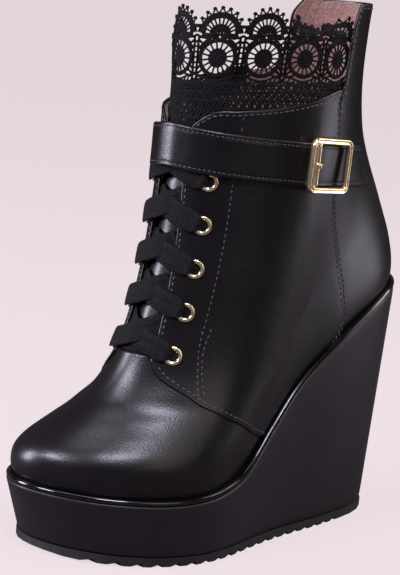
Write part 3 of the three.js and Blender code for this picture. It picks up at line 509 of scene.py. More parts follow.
bead_path = outline_at(np.arange(0, 360, 1.25), BEAD_RADIUS + 0.1)
bead_slope = arch_height(bead_path[:, 1] + 0.5) - arch_height(bead_path[:, 1] - 0.5)
bead_path[:, 2] = arch_height(bead_path[:, 1]) + (GAP + BEAD_RADIUS) * np.hypot(1, bead_slope) - 0.1
bead_round = round_profile(2 * BEAD_RADIUS, 2 * BEAD_RADIUS, 12)
bead = build("piped_bead", *sweep(bead_path, [0, 0, 1], bead_round, closed=True), patent, slot="gloss_bead")
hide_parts("welt_bead")

# Upper leather: smooth full-grain calf, dyed through and finished satin, so broad soft light slides
# over it and the fine grain only breaks its edge. It is cut in a vamp, two quarters and a back strip.
calf, tree, shader, where = principled("smooth_dyed_calf")
tone = noise(tree, where, 16, 5.0)
tint(tree, shader, tone, "#0b080a", "#131013")
rough = node(tree, "ShaderNodeMapRange", {"To Min": 0.28, "To Max": 0.36}, {"Value": tone})
tree.links.new(rough.outputs[0], shader.inputs["Roughness"])
pores = cells(tree, where, 0.8)
fine = bump(tree, shader, pores, 0.08, 0.45)
folds = noise(tree, where, 5, 3.0)
bump(tree, shader, folds, 0.12, 0.5, fine)

LEATHER = 1.1
EDGE_ROUND = 0.35


def route(points):
    """Smooth path through [turn, level] points, read from 0 to 1 by its length."""
    p = np.array(points, float)
    gaps = np.hypot(np.diff(p[:, 0]) * 0.8, np.diff(p[:, 1]) * 11)
    stations = np.concatenate([[0], np.cumsum(gaps)]) / gaps.sum()
    return lambda s: through(stations, p, np.asarray(s, float))


def height_route(rows):
    """Smooth path through [turn, height] points."""
    return route([[turn, float(level_at(turn, z))] for turn, z in rows])


def edge_stations(count):
    """Stations from 0 to 1 that crowd at both ends, so that cut edges can be rounded."""
    return np.concatenate([[0, 0.002, 0.006], np.linspace(0.014, 0.986, count), [0.994, 0.998, 1.0]])


def span(left, right, bottom, top, s, t):
    """Turns and levels of a cut piece between its four edges."""
    s, t = np.asarray(s)[None, :], np.asarray(t)[:, None]
    sw, tw = s[..., None], t[..., None]
    sides = (1 - sw) * left(t[:, 0])[:, None] + sw * right(t[:, 0])[:, None]
    ends = (1 - tw) * bottom(s[0])[None] + tw * top(s[0])[None]
    corners = ((1 - sw) * (1 - tw) * left(0.0) + sw * (1 - tw) * right(0.0)
               + (1 - sw) * tw * left(1.0) + sw * tw * right(1.0))
    grid = sides + ends - corners
    return grid[..., 0], np.clip(grid[..., 1], 0.02, TOP_LEVEL)


def leather_lift(s, t, lift):
    """Lift of a piece's face, let down at its cut edges."""
    near = np.minimum(np.minimum(s, 1 - s)[None, :], np.minimum(t, 1 - t)[:, None])
    return lift - EDGE_ROUND * np.exp(-near / 0.003)


def cut_piece(name, turn, level, s, t, lift):
    high = leather_lift(s, t, lift)
    low = np.minimum(high - 0.4, lift - LEATHER)
    return build(name, *wall(level, turn, high, low), calf)


# Rows of the next two: turn, level
VAMP_SEAM = [[0, 7.45], [12, 7.42], [18, 7.38], [22, 7.3], [26, 7.0], [31, 6.75], [38, 6.45], [45.5, 6.1],
             [51, 5.75], [58, 5.35], [69.5, 4.4], [74, 3.85], [78, 3.15], [80.5, 2.45], [83, 1.65],
             [85, 0.95], [86.3, 0.4], [87.2, 0.02]]
BACK_SEAM = [[112, 0.05], [115, 0.5], [116, 1.1], [116.4, 1.9], [115.6, 3], [114.5, 4.2], [111.5, 6.05],
             [109, 7.4], [107, 8.3], [105.4, 10.2], [105, 11.2], [106.5, 12.9]]
# Rows of the next two: turn, height
THROAT_EDGE = [[21.5, 89.5], [20.8, 89], [20, 94], [18.5, 104], [17, 118], [16, 134], [14.4, 150], [13, 166],
               [12.6, 190]]
TOPLINE = [[12.8, 192], [15.5, 195.8], [20, 198.6], [28, 202.2], [45, 203.9], [68, 206.6], [90, 211],
           [107, 215]]


def crease(turn, level):
    """Lift of the soft walking folds across the vamp, behind the toe."""
    across = np.exp(-((np.abs(turn) - 34) / 26) ** 2)
    fold = 0.18 * np.sin((level - 4.6) * 4.2 + 0.02 * turn) * np.exp(-((level - 5.7) / 0.9) ** 2)
    return fold * across


def vamp_top(turn):
    rows = np.array(VAMP_SEAM)
    return through(rows[:, 0], rows[:, 1], np.abs(turn) - 1.2 * smooth(np.abs(turn), 60, 76)) + 0.12


s_line = np.linspace(-90, 90, 221)
t_line = np.concatenate([[0, 0.004, 0.012], np.linspace(0.03, 1, 70)])
vamp_turn, t_grid = np.meshgrid(s_line, t_line)
vamp_level = 0.02 + t_grid * (vamp_top(vamp_turn) - 0.02)
vamp_high = crease(vamp_turn, vamp_level)
vamp = build("vamp", *wall(vamp_level, vamp_turn, vamp_high, vamp_high - LEATHER), calf)

QUARTER_LIFT = 0.75
throat_route = height_route(THROAT_EDGE)
quarter_top = height_route(TOPLINE)
low_points = [p for p in VAMP_SEAM if p[0] > 24]
quarter_bottom = route([list(throat_route(0.0))] + low_points + [[90, 0.02], [100, 0.02], [112, 0.05]])
back_route = route(BACK_SEAM + [[107, float(quarter_top(1.0)[1])]])
quarter_s = edge_stations(150)
quarter_t = edge_stations(120)
quarter_edges = (throat_route, back_route, quarter_bottom, quarter_top)
turn, level = span(*quarter_edges, quarter_s, quarter_t)
SIDES = ((1, "outer"), (-1, "inner"))
quarters = [cut_piece(f"quarter_{word}", side * turn, level, quarter_s, quarter_t, QUARTER_LIFT)
            for side, word in SIDES]

# Back strip: one tall piece round the heel that carries on above the quarters as the tab, with its top
# edge turned over and stitched. Its front edges run under the quarters.
TAB_HEIGHT = 255
TAB_FRONT = [[103, 0.1], [102.5, 3], [100.5, 6], [98.5, 8.8], [98.5, 10.8], [102.5, 12.2]]
TAB_OUTER = [[106.6, 215], [108, 222], [109.6, 238], [110.8, 249], [113, 254.2]]
TAB_INNER = [[107, 215], [118, 216.5], [129, 220], [135.5, 227], [137.4, 238], [138.4, 248], [143.5, 254.2]]


def tab_edge(side):
    rows = TAB_FRONT + [[t, float(level_at(t, z))] for t, z in (TAB_OUTER if side > 0 else TAB_INNER)]
    return route([[t if side > 0 else 360 - t, level] for t, level in rows])


def rim_route(level_of):
    turns = np.linspace(TAB_OUTER[-1][0], 360 - TAB_INNER[-1][0], 24)
    return route([[t, level_of(t)] for t in turns])


strip_top = rim_route(lambda t: float(level_at(t, TAB_HEIGHT - 0.8 * math.exp(-min(t - 113, 216.5 - t) / 3))))
strip_bottom = route([[t, 0.1] for t in np.linspace(103, 257, 20)])
strip_s, strip_t = edge_stations(150), edge_stations(130)
strip_turn, strip_level = span(tab_edge(1), tab_edge(-1), strip_bottom, strip_top, strip_s, strip_t)
back_strip = cut_piece("back_strip_and_tab", strip_turn, strip_level, strip_s, strip_t, 0.0)

# Lining: brushed short-pile cloth in a pinkish brown, glued inside the leather and a little proud of it,
# so the inside of the tab looks furry.
pile, tree, shader, where = principled("brushed_pile_lining", {
    "Roughness": 0.95, "Sheen Weight": 0.4, "Sheen Roughness": 0.5})
tuft = noise(tree, where, 2.2, 6.0, 1.2)
tint(tree, shader, tuft, "#482c26", "#a27a6c")
bump(tree, shader, tuft, 1.4, 0.9)

LINING_DEPTH = 1.95
lining_s, lining_t = np.linspace(0.02, 0.985, 140), np.linspace(0, 1, 120)
lining_turn, lining_level = span(tab_edge(1), tab_edge(-1), strip_bottom, strip_top, lining_s, lining_t)
lining_level = np.minimum(lining_level, level_at(lining_turn, TAB_HEIGHT - 0.9))
curl = np.sin(lining_turn * 2.9 + 5 * np.sin(lining_level * 9))
furry = 0.35 * curl * np.sin(lining_level * 31 + lining_turn)
points, faces = wall(lining_level, lining_turn, -LEATHER - 0.05, -WALL - 0.2 + furry * 0.6)
back_lining = build("back_lining", points, faces, pile, slot="insole_cloth")
linings = [back_lining]
turn, level = span(*quarter_edges, np.linspace(0.12, 1, 60), np.linspace(0, 0.985, 60))
for side, word in SIDES:
    points, faces = wall(level, side * turn, -0.4, -LINING_DEPTH)
    linings.append(build(f"quarter_lining_{word}", points, faces, pile, slot="insole_cloth"))
turn, level = np.meshgrid(np.linspace(-90, 90, 91), np.linspace(0, 1, 30))
level = 0.02 + level * (vamp_top(turn) - 0.25)
points, faces = wall(level, turn, -LEATHER - 0.05, -LINING_DEPTH)
linings.append(build("vamp_lining", points, faces, pile, slot="insole_cloth"))
for piece in [vamp, back_strip] + quarters + linings:
    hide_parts("upper")
for piece in quarters:
    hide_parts("vamp_seam_outer", "vamp_seam_inner", "back_seam_outer", "back_seam_inner")
assign("insole", pile)

# Tongue: a lightly padded strip of the same calf behind the throat. It sits lower at the top, where it
# passes inside the crochet cuff.
TONGUE_BOTTOM = 78
TONGUE_TOP = 207
TONGUE_THICKNESS = 2.4
TONGUE_HALF_TURN = 36

tongue_s = np.linspace(-1, 1, 61)
tongue_t = np.concatenate([[0, 0.004], np.linspace(0.015, 0.985, 80), [0.996, 1]])
turn, height = np.meshgrid(TONGUE_HALF_TURN * tongue_s, lerp(TONGUE_BOTTOM, TONGUE_TOP, tongue_t))
level = level_at(turn, height)
deep = WALL + 2 * GAP + 2.2 * smooth(height, 166, 184)
wrinkles = np.sin(height * 0.42 + 0.05 * turn) * np.exp(-(turn / 16) ** 2)
padding = 0.35 * (1 - (turn / TONGUE_HALF_TURN) ** 2) + 0.25 * wrinkles
points, faces = wall(level, turn, 0.1 + padding * 0.6 - deep, -deep - TONGUE_THICKNESS)
tongue = build("padded_tongue", points, faces, calf)
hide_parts("tongue")

# Stitching: black bonded thread, one row beside each cut edge and two down the quarters. Each stitch is a
# short bead of thread set along its line. Its grey base colour, lighter than the black thread, is a painted
# sheen that makes the rows read bright-edged.
thread, tree, shader, where = principled("black_thread_painted_grey_sheen", {
    "Base Color": linear("#48434a"), "Roughness": 0.35})
twist = noise(tree, where, 0.5)
bump(tree, shader, twist, 0.1, 0.5)


def tree_with(name, sockets):
    """A geometry tree with a Geometry input, the named inputs and a Geometry output."""
    made = bpy.data.node_groups.new(name, "GeometryNodeTree")
    made.interface.new_socket("Geometry", in_out="INPUT", socket_type="NodeSocketGeometry")
    for socket, kind in sockets.items():
        made.interface.new_socket(socket, in_out="INPUT", socket_type=kind)
    made.interface.new_socket("Geometry", in_out="OUTPUT", socket_type="NodeSocketGeometry")
    return made


def finish_tree(made, instances, material):
    """Ends a tree: makes the copies real and gives them their material."""
    real = node(made, "GeometryNodeRealizeInstances", {}, {"Geometry": instances})
    dressed = node(made, "GeometryNodeSetMaterial", {}, {"Geometry": real.outputs[0], "Material": material})
    node(made, "NodeGroupOutput", {}, {"Geometry": dressed.outputs[0]})


def grow(name, source, tree, values, body="boot"):
    """Runs a tree on a source object and keeps the result as a plain piece."""
    modifier = source.modifiers.new(name, "NODES")
    modifier.node_group = tree
    for socket in tree.interface.items_tree:
        if socket.in_out == "INPUT" and socket.name in values:
            modifier[socket.identifier] = values[socket.name]
    graph = bpy.context.evaluated_depsgraph_get()
    mesh = bpy.data.meshes.new_from_object(source.evaluated_get(graph), depsgraph=graph)
    made = put(name, mesh)
    bpy.data.objects.remove(source)
    mesh.polygons.foreach_set("use_smooth", [True] * len(mesh.polygons))
    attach(made, body)
    return made


stitch_tree = tree_with("stitch_row", {
    "Pitch": "NodeSocketFloat", "Length": "NodeSocketFloat", "Thickness": "NodeSocketFloat",
    "Material": "NodeSocketMaterial"})
given = node(stitch_tree, "NodeGroupInput")
line = node(stitch_tree, "GeometryNodeMeshToCurve", {}, {"Mesh": given.outputs["Geometry"]})
even = node(stitch_tree, "GeometryNodeResampleCurve", {"mode": "LENGTH"},
            {"Curve": line.outputs[0], "Length": given.outputs["Pitch"]})
ball = node(stitch_tree, "GeometryNodeMeshUVSphere", {"Segments": 7, "Rings": 5, "Radius": 0.5})
size = node(stitch_tree, "ShaderNodeCombineXYZ", {},
            {"X": given.outputs["Length"], "Y": given.outputs["Thickness"], "Z": given.outputs["Thickness"]})
bead_of_thread = node(stitch_tree, "GeometryNodeTransform", {},
                      {"Geometry": ball.outputs["Mesh"], "Scale": size.outputs[0]})
tangent = node(stitch_tree, "GeometryNodeInputTangent")
aimed = node(stitch_tree, "FunctionNodeAlignRotationToVector", {"axis": "X"}, {"Vector": tangent.outputs[0]})
set_out = node(stitch_tree, "GeometryNodeInstanceOnPoints", {},
               {"Points": even.outputs[0], "Instance": bead_of_thread.outputs[0],
                "Rotation": aimed.outputs[0]})
finish_tree(stitch_tree, set_out.outputs[0], given.outputs["Material"])


def lines_object(name, lines):
    """A source object that holds polylines in millimetres."""
    points = np.concatenate(lines) / 1000 + SHIFT
    edges, start = [], 0
    for one in lines:
        edges += [(start + k, start + k + 1) for k in range(len(one) - 1)]
        start += len(one)
    mesh = bpy.data.meshes.new(name)
    mesh.from_pydata(points.tolist(), edges, [])
    return put(name, mesh)


def sew(name, lines, pitch, length, thickness, body="boot"):
    """Rows of stitches along lines; every size is in millimetres."""
    values = {"Pitch": pitch / 1000, "Length": length / 1000, "Thickness": thickness / 1000,
              "Material": thread}
    grow(name, lines_object(name + "_lines", lines), stitch_tree, values, body)


def beside(rows, offset, lift, side=1, count=120):
    """Polyline that keeps an offset in millimetres from a path of turns and levels."""
    rows = np.asarray(rows(np.linspace(0, 1, count)) if callable(rows) else rows, float)
    turn, level = rows[:, 0], np.clip(rows[:, 1], 0.05, TOP_LEVEL - 0.02)
    per_degree = np.linalg.norm(skin_point(level, turn + 0.5) - skin_point(level, turn - 0.5), axis=-1)
    above, below = np.minimum(level + 0.05, TOP_LEVEL), level - 0.05
    per_level = np.linalg.norm(skin_point(above, turn) - skin_point(below, turn), axis=-1) * 10
    along = np.stack([np.gradient(turn) * per_degree, np.gradient(level) * per_level], -1)
    across = unit(np.stack([along[:, 1], -along[:, 0]], -1))
    turn = turn + offset * across[:, 0] / per_degree
    level = np.clip(level + offset * across[:, 1] / per_level, 0.02, TOP_LEVEL)
    return skin(level, side * turn, np.full(len(turn), lift))


STITCH_LENGTH = 2.1
STITCH_PITCH = 2.8
STITCH_THICKNESS = 0.65
EDGE_MARGIN = 1.9
STRIP_LIFT = 0.05
quarter_line = height_route([[44.5, 173], [44.5, 150], [43.5, 128], [42.5, 110], [42, 99], [44, 88],
                             [48.5, 75]])
low_line = height_route([[45.5, 104], [44.5, 96], [46, 87], [50.5, 76]])
seam_rows = route([list(throat_route(0.0))] + low_points)
lines = []
for side in (1, -1):
    lines += [
        beside(lambda s: throat_route(lerp(0.04, 0.99, s)), EDGE_MARGIN, QUARTER_LIFT, side),
        beside(quarter_top, EDGE_MARGIN, QUARTER_LIFT, side),
        beside(lambda s: seam_rows(lerp(0.05, 1, s)), -1.7, QUARTER_LIFT, side),
        beside([[46, float(level_at(46, 200.5 - k))] for k in range(6)], 0, QUARTER_LIFT, side),
        beside(back_route, -1.8, QUARTER_LIFT, side),
        beside(back_route, 1.7, STRIP_LIFT, side),
        beside(quarter_line, 0, QUARTER_LIFT, side),
        beside(low_line, 0, QUARTER_LIFT, side, 30),
        beside(tab_edge(side), side * EDGE_MARGIN, STRIP_LIFT),
    ]
lines.append(beside(strip_top, 2.2, STRIP_LIFT))
sew("stitching", lines, STITCH_PITCH, STITCH_LENGTH, STITCH_THICKNESS)

# Eyelets: rolled brass rings plated in pale gold, polished, clenched through the facings in six pairs.
EYELET_ROWS = 6
FIRST_EYELET_HEIGHT = 92
EYELET_PITCH = 19.8
EYELET_TURN = 31
EYELET_RING_RADIUS = 3.55
EYELET_TUBE = 1.7
TOP_PAIR_DROP = 2.2  # the top pair sits a little lower, under the strap

gold, tree, shader, where = principled("pale_gold_plate", {"Metallic": 0.88, "Roughness": 0.22})
worn = noise(tree, where, 3, 4.0)
tint(tree, shader, worn, "#efd7a2", "#fff0cc")
bump(tree, shader, worn, 0.08, 0.3)

set_tree = tree_with("set_on_points", {"Shape": "NodeSocketObject", "Material": "NodeSocketMaterial"})
given = node(set_tree, "NodeGroupInput")
shape = node(set_tree, "GeometryNodeObjectInfo", {}, {"Object": given.outputs["Shape"]})
facing = node(set_tree, "GeometryNodeInputNamedAttribute", {"data_type": "FLOAT_VECTOR", "Name": "facing"})
running = node(set_tree, "GeometryNodeInputNamedAttribute", {"data_type": "FLOAT_VECTOR", "Name": "running"})
turned = node(set_tree, "FunctionNodeAxesToRotation", {"primary_axis": "Z", "secondary_axis": "X"},
              {"Primary Axis": facing.outputs["Attribute"], "Secondary Axis": running.outputs["Attribute"]})
set_out = node(set_tree, "GeometryNodeInstanceOnPoints", {},
               {"Points": given.outputs["Geometry"], "Instance": shape.outputs["Geometry"],
                "Rotation": turned.outputs[0]})
finish_tree(set_tree, set_out.outputs[0], given.outputs["Material"])


def points_object(name, points, facing_rows, running_rows):
    mesh = bpy.data.meshes.new(name)
    mesh.from_pydata((np.asarray(points) / 1000 + SHIFT).tolist(), [], [])
    for label, rows in (("facing", facing_rows), ("running", running_rows)):
        rows = np.broadcast_to(np.asarray(rows, float), (len(points), 3)).ravel()
        mesh.attributes.new(label, "FLOAT_VECTOR", "POINT").data.foreach_set("vector", rows)
    return put(name, mesh)


def shape_object(name, parts):
    """A source shape in millimetres from several closed meshes; it is removed once it has been copied."""
    points, faces = gather(parts)
    mesh = bpy.data.meshes.new(name)
    mesh.from_pydata((points / 1000).tolist(), [], faces)
    return put(name, mesh)


def circle(radius, height, count):
    a = np.arange(count) * 2 * math.pi / count
    return np.stack([radius * np.cos(a), radius * np.sin(a), np.full(count, height)], -1)


ring_shape = shape_object("eyelet_shape", [
    sweep(circle(EYELET_RING_RADIUS, 0.35, 40), [0, 0, 1], round_profile(EYELET_TUBE, 1.25, 12, 2.4),
          closed=True),
    sweep(circle(2.75, -0.95, 40), [0, 0, 1], round_profile(0.45, 2.5, 8, 4), closed=True),
])
eyelet_turns = np.tile([EYELET_TURN, -EYELET_TURN], EYELET_ROWS).astype(float)
eyelet_heights = FIRST_EYELET_HEIGHT + np.repeat(np.arange(EYELET_ROWS), 2) * EYELET_PITCH
eyelet_heights[-2:] -= TOP_PAIR_DROP
eyelet_levels = level_at(eyelet_turns, eyelet_heights)
eyelet_normals = skin_normal(eyelet_levels, eyelet_turns)
eyelet_points = skin(eyelet_levels, eyelet_turns, np.full(12, QUARTER_LIFT))
eyelet_places = points_object("eyelet_places", eyelet_points, eyelet_normals, [0, 0, 1])
rings = grow("gold_eyelets", eyelet_places, set_tree, {"Shape": ring_shape, "Material": gold})
bpy.data.objects.remove(ring_shape)
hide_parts(*[f"eyelet_{word}_{row + 1}" for word in ("outer", "inner") for row in range(EYELET_ROWS)])

# Laces: wide flat polyester braid in herringbone, matt black. Each run leaves an eyelet over its facing,
# crosses the tongue and tucks under the facing on the other side.
LACE_WIDTH = 10.4
LACE_THICKNESS = 1.25
BRAID_RIB = 1.25
BRAID_COLUMN = 2.3

braid, tree, shader, where = principled("herringbone_braid")
flat = node(tree, "ShaderNodeUVMap", {"uv_map": "UVMap"})
split = node(tree, "ShaderNodeSeparateXYZ", {}, {"Vector": flat.outputs[0]})


def maths(tree, operation, a, b=None, c=None):
    made = node(tree, "ShaderNodeMath", {"operation": operation})
    for socket, value in zip(made.inputs, (a, b, c)):
        if value is None:
            continue
        if isinstance(value, (int, float)):
            socket.default_value = value
        else:
            tree.links.new(value, socket)
    return made.outputs[0]


zigzag = maths(tree, "PINGPONG", split.outputs["Y"], BRAID_COLUMN)
phase = maths(tree, "ADD", split.outputs["X"], zigzag)
rib = maths(tree, "SINE", maths(tree, "MULTIPLY", phase, 2 * math.pi / BRAID_RIB))
rib = maths(tree, "MULTIPLY_ADD", rib, 0.5, 0.5)
tint(tree, shader, rib, "#040304", "#171516")
shader.inputs["Roughness"].default_value = 0.8
shader.inputs["Specular IOR Level"].default_value = 0.25
bump(tree, shader, rib, 0.45, 1.0)


def lace_band(path, up, widths=None, sides=16):
    """Flat band along a path, with its length and width in millimetres as its own coordinates."""
    profile = round_profile(LACE_WIDTH, LACE_THICKNESS, sides, 3.2)
    points, faces = sweep(path, up, profile, widths=widths)
    run = run_length(path)
    uv = np.stack([np.repeat(run, sides), np.tile(profile[:, 0], len(path))], -1)
    return points, faces, uv


def join_bands(name, bands):
    points, faces = gather([band[:2] for band in bands])
    uv = np.concatenate([band[2] for band in bands])
    return build(name, points, faces, braid, slot="lace_braid", uv=uv)


def throat_half(height):
    return lerp(21, 13, smooth(height, 86, 146))


def lace_path(row, side, over):
    """Route of one run, from its eyelet to under the far facing."""
    z0 = FIRST_EYELET_HEIGHT + row * EYELET_PITCH
    far = float(throat_half(z0 + 0.75 * EYELET_PITCH))
    middle_lift = 1.7 if over else 0.15
    if row == EYELET_ROWS - 2:
        middle_lift = 0.9 if over else -0.5
    stand = 1.5 if over else 0.0
    stations = [
        [EYELET_TURN + 0.6, -1.6], [EYELET_TURN - 0.8, 0.6], [EYELET_TURN - 3.2, 2.1 + 0.6 * stand],
        [EYELET_TURN - 7, 1.75 + stand], [far + 2, 1.65 + 0.8 * stand],
        [far * 0.45, 0.5 * (1.65 + middle_lift)], [0, middle_lift],
        [-far * 0.6, 0.5 * (middle_lift - 1.25)], [1 - far, -1.25], [-2.5 - far, -1.2]]
    rows = np.array(stations)
    s = np.linspace(0, 1, 64)
    at = through(np.linspace(0, 1, len(rows)), rows, s)
    crossed = (EYELET_TURN - at[:, 0]) / (2 * EYELET_TURN)
    climb = (0.82 * crossed + 0.18 * smooth(crossed, 0.72, 1.0)) * EYELET_PITCH
    height = z0 + climb + 0.25 * np.sin(3.1 * s + row)
    turn = side * at[:, 0]
    level = level_at(turn, height)
    path = skin(level, turn, at[:, 1])
    run = run_length(path)
    return path, skin_normal(level, turn), lerp(0.45, 1.0, smooth(run, 1.0, 8.5))


for row in range(EYELET_ROWS - 1):
    bands = []
    for side, over in ((1, False), (-1, True)):
        bands.append(lace_band(*lace_path(row, side, over)))
    crossing = join_bands(f"lace_crossing_{row + 1}", bands)
    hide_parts(f"lace_cross_{row + 1}")
bar_turn = np.linspace(-24, 24, 30)
bar_level = level_at(bar_turn, np.full(30, FIRST_EYELET_HEIGHT + 0.6))
bar_path = skin(bar_level, bar_turn, -1.0 - 0.25 * (np.abs(bar_turn) > 17))
lace_bar = join_bands("lace_first_bar", [lace_band(bar_path, skin_normal(bar_level, bar_turn))])
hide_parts("lace_bar")

# Ankle strap: two layers of calf with turned edges, stitched along both sides. It crosses over the top
# of the lacing, and its loose end passes under the buckle.
STRAP_WIDTH = 20
STRAP_THICKNESS = 1.6
STRAP_FRONT_HEIGHT = 186.5
STRAP_DROP_PER_DEGREE = 0.068
STRAP_END_TURN = 84.5
BILLET_END_TURN = 131
STITCH_INSET = 1.9


def strap_height(turn):
    return STRAP_FRONT_HEIGHT - STRAP_DROP_PER_DEGREE * np.abs(turn)


def strap_lift(turn):
    return lerp(2.45, 1.0, smooth(np.abs(turn), 34, 62))


def strap_piece(name, start, end, steps, lean=0.0):
    s, t = edge_stations(steps), edge_stations(34)
    turn = lerp(start, end, s)[None] + lean * s[None] * (0.5 - t[:, None])
    height = strap_height(turn) + (t[:, None] - 0.5) * STRAP_WIDTH
    across = (t[:, None] - 0.5) * STRAP_WIDTH
    crown = 0.22 * np.exp(-((np.abs(across) - STRAP_WIDTH / 2 + STITCH_INSET) / 0.5) ** 2)
    edge = 0.75 * np.exp(-np.minimum(t, 1 - t)[:, None] / 0.012)
    edge = edge + 0.5 * np.exp(-np.minimum(s, 1 - s)[None] / 0.002)
    wave = 0.12 * np.sin(turn * 0.31 + 1.3) * np.sin(turn * 0.113)
    level = level_at(turn, height)
    low = strap_lift(turn)
    high = low + STRAP_THICKNESS - crown - edge + wave
    return build(name, *wall(level, turn, high, low + 0.25 * edge), calf)


strap = strap_piece("ankle_strap", -BILLET_END_TURN, STRAP_END_TURN, 170)
billet = strap_piece("strap_loose_end", STRAP_END_TURN + 1, BILLET_END_TURN, 60, 8.0)
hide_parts("strap")
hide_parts("strap_billet")
lines = []
row_reach = STRAP_WIDTH / 2 - STITCH_INSET
for turns in (np.linspace(-BILLET_END_TURN + 1.5, STRAP_END_TURN - 1, 170),
              np.linspace(STRAP_END_TURN + 2, BILLET_END_TURN - 5, 40)):
    for edge in (-1, 1):
        height = strap_height(turns) + edge * row_reach
        lines.append(on_shaft(turns, height, strap_lift(turns) + STRAP_THICKNESS - 0.1))
ends = np.linspace(-1, 1, 12)
lines.append(on_shaft(BILLET_END_TURN - 3.4 - 4.0 * ends,
                      strap_height(BILLET_END_TURN - 5) + ends * row_reach,
                      strap_lift(BILLET_END_TURN - 5) + STRAP_THICKNESS - 0.1))
sew("strap_stitching", lines, 2.3, 1.75, 0.5)

# Buckle: a cast frame with two polished ridges and a groove between them, plated in the same pale gold,
# with a roller bar inside its front end and a prong looped on the bar.
BUCKLE_TURN = 94
BUCKLE_LENGTH = 31
BUCKLE_HEIGHT = 25.6
BUCKLE_RAIL = 2.7
BUCKLE_DEPTH = 2.3
BUCKLE_CORNER = 4
BUCKLE_STAND = 3.65  # from the skin to the back of the frame
BAR_INSET = 5.3
BAR_HEIGHT = 1.1
PRONG_LOOP = 1.75

buckle_level = float(level_at(BUCKLE_TURN, float(strap_height(BUCKLE_TURN))))
buckle_out = skin_normal(buckle_level, BUCKLE_TURN)
buckle_out = unit(buckle_out * np.array([1, 1, 0]))
buckle_along = np.cross([0, 0, 1], buckle_out)
buckle_along[2] = -STRAP_DROP_PER_DEGREE * 180 / math.pi / (SHAFT_DEPTH / 2)
buckle_along = unit(buckle_along)
buckle_up = np.cross(buckle_out, buckle_along)
buckle_centre = skin_point(buckle_level, BUCKLE_TURN) + buckle_out * BUCKLE_STAND


def in_buckle(points):
    """Places (along, up, out) points of the flat buckle on the boot."""
    points = np.asarray(points, float)
    return buckle_centre + points @ np.stack([buckle_along, buckle_up, buckle_out])


def rounded_rectangle(width, height, radius, per_corner):
    corners = [(1, -1, -90), (1, 1, 0), (-1, 1, 90), (-1, -1, 180)]
    rows = []
    for x, y, start in corners:
        a = np.radians(start + np.linspace(0, 90, per_corner))
        rows.append(np.stack([x * (width / 2 - radius) + radius * np.cos(a),
                              y * (height / 2 - radius) + radius * np.sin(a)], -1))
    rows = np.concatenate(rows)
    return np.concatenate([rows, np.full((len(rows), 1), BUCKLE_DEPTH / 2)], -1)


rail_profile = np.array([[-1, -1], [1, -1], [1.02, 0.1], [0.86, 0.85], [0.6, 1], [0.3, 0.8], [0.06, 0.42],
                         [-0.12, 0.42], [-0.36, 0.8], [-0.62, 1], [-0.88, 0.85], [-1.02, 0.1]])
rail_profile = rail_profile * [BUCKLE_RAIL / 2, BUCKLE_DEPTH / 2]
frame_path = rounded_rectangle(BUCKLE_LENGTH - BUCKLE_RAIL, BUCKLE_HEIGHT - BUCKLE_RAIL,
                               BUCKLE_CORNER - 1.2, 9)
points, faces = sweep(in_buckle(frame_path), buckle_out, rail_profile, closed=True)
buckle = build("buckle_frame_cast", points, faces, gold, slot="pale_gold")
bar_x = -BUCKLE_LENGTH / 2 + BAR_INSET
bar_reach = np.linspace(-1, 1, 9) * (BUCKLE_HEIGHT / 2 - 1.6)
bar_line = np.stack([np.full(9, bar_x), bar_reach, np.full(9, BAR_HEIGHT)], -1)
points, faces = sweep(in_buckle(bar_line), buckle_out, round_profile(2.3, 2.2, 16))
roller = build("buckle_roller", points, faces, gold, slot="pale_gold")
loop = [[bar_x + PRONG_LOOP * math.cos(a), 0, BAR_HEIGHT + PRONG_LOOP * math.sin(a)]
        for a in np.radians(np.arange(200, 20, -15))]
tip = [[bar_x + 3.2, 0, 1.3], [bar_x + 5, 0, 0.75], [bar_x + 6.2, 0, 0.1], [bar_x + 7, 0, -0.4]]
prong_path = in_buckle(loop + tip)
prong_up = np.cross(np.gradient(prong_path, axis=0), buckle_up)
prong_widths = np.linspace(1.1, 0.75, len(prong_path))
points, faces = sweep(prong_path, prong_up, round_profile(2.4, 1.1, 12, 2.6), widths=prong_widths)
prong = build("buckle_prong_bent", points, faces, gold, slot="pale_gold")
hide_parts("buckle_frame")
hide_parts("buckle_frame")
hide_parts("buckle_prong")

# Back zip: woven tape sewn to the back strip, with a row of small brass teeth down its middle, a cast
# slider at the top and a leather pull on a wire link.
ZIP_BOTTOM = 152
ZIP_TOP = 250
ZIP_TAPE_WIDTH = 13
TAPE_SEAT = 0.54
TAPE_TOP = TAPE_SEAT + 0.7
TOOTH_SPACING = 1.9

tape_cloth, tree, shader, where = principled("woven_zip_tape", {"Roughness": 0.85})
weave = node(tree, "ShaderNodeTexWave", {"Scale": 1000 / 1.1 / 3.2, "bands_direction": "Z"},
             {"Vector": where.outputs["Object"]})
tint(tree, shader, weave.outputs["Fac"], "#0c0b0d", "#1c1a1d")
bump(tree, shader, weave.outputs["Fac"], 0.12, 0.8)

brass, tree, shader, where = principled("antique_brass", {"Metallic": 1.0, "Roughness": 0.34})
tarnish = noise(tree, where, 2, 5.0)
tint(tree, shader, tarnish, "#5f5442", "#a89a80")
bump(tree, shader, tarnish, 0.1, 0.4)

tape_heights = np.linspace(ZIP_BOTTOM, ZIP_TOP, 70)
back_level = level_at(180, tape_heights)
step = np.linalg.norm(skin_point(back_level, 180.0) - skin_point(back_level, 175.0), axis=-1) / 5
across = np.linspace(-1, 1, 17)
turn = 180 + across[None] * (ZIP_TAPE_WIDTH / 2 / step)[:, None]
height = np.tile(tape_heights[:, None], (1, 17))
level = level_at(turn, height)
rolled = 0.25 * np.exp(-(1 - np.abs(across)) / 0.06)[None] + 0 * turn
points, faces = wall(level, turn, TAPE_TOP - rolled, 0.1)
tape = build("zip_tape_woven", points, faces, tape_cloth, slot="zip_tape")
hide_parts("zip_tape")

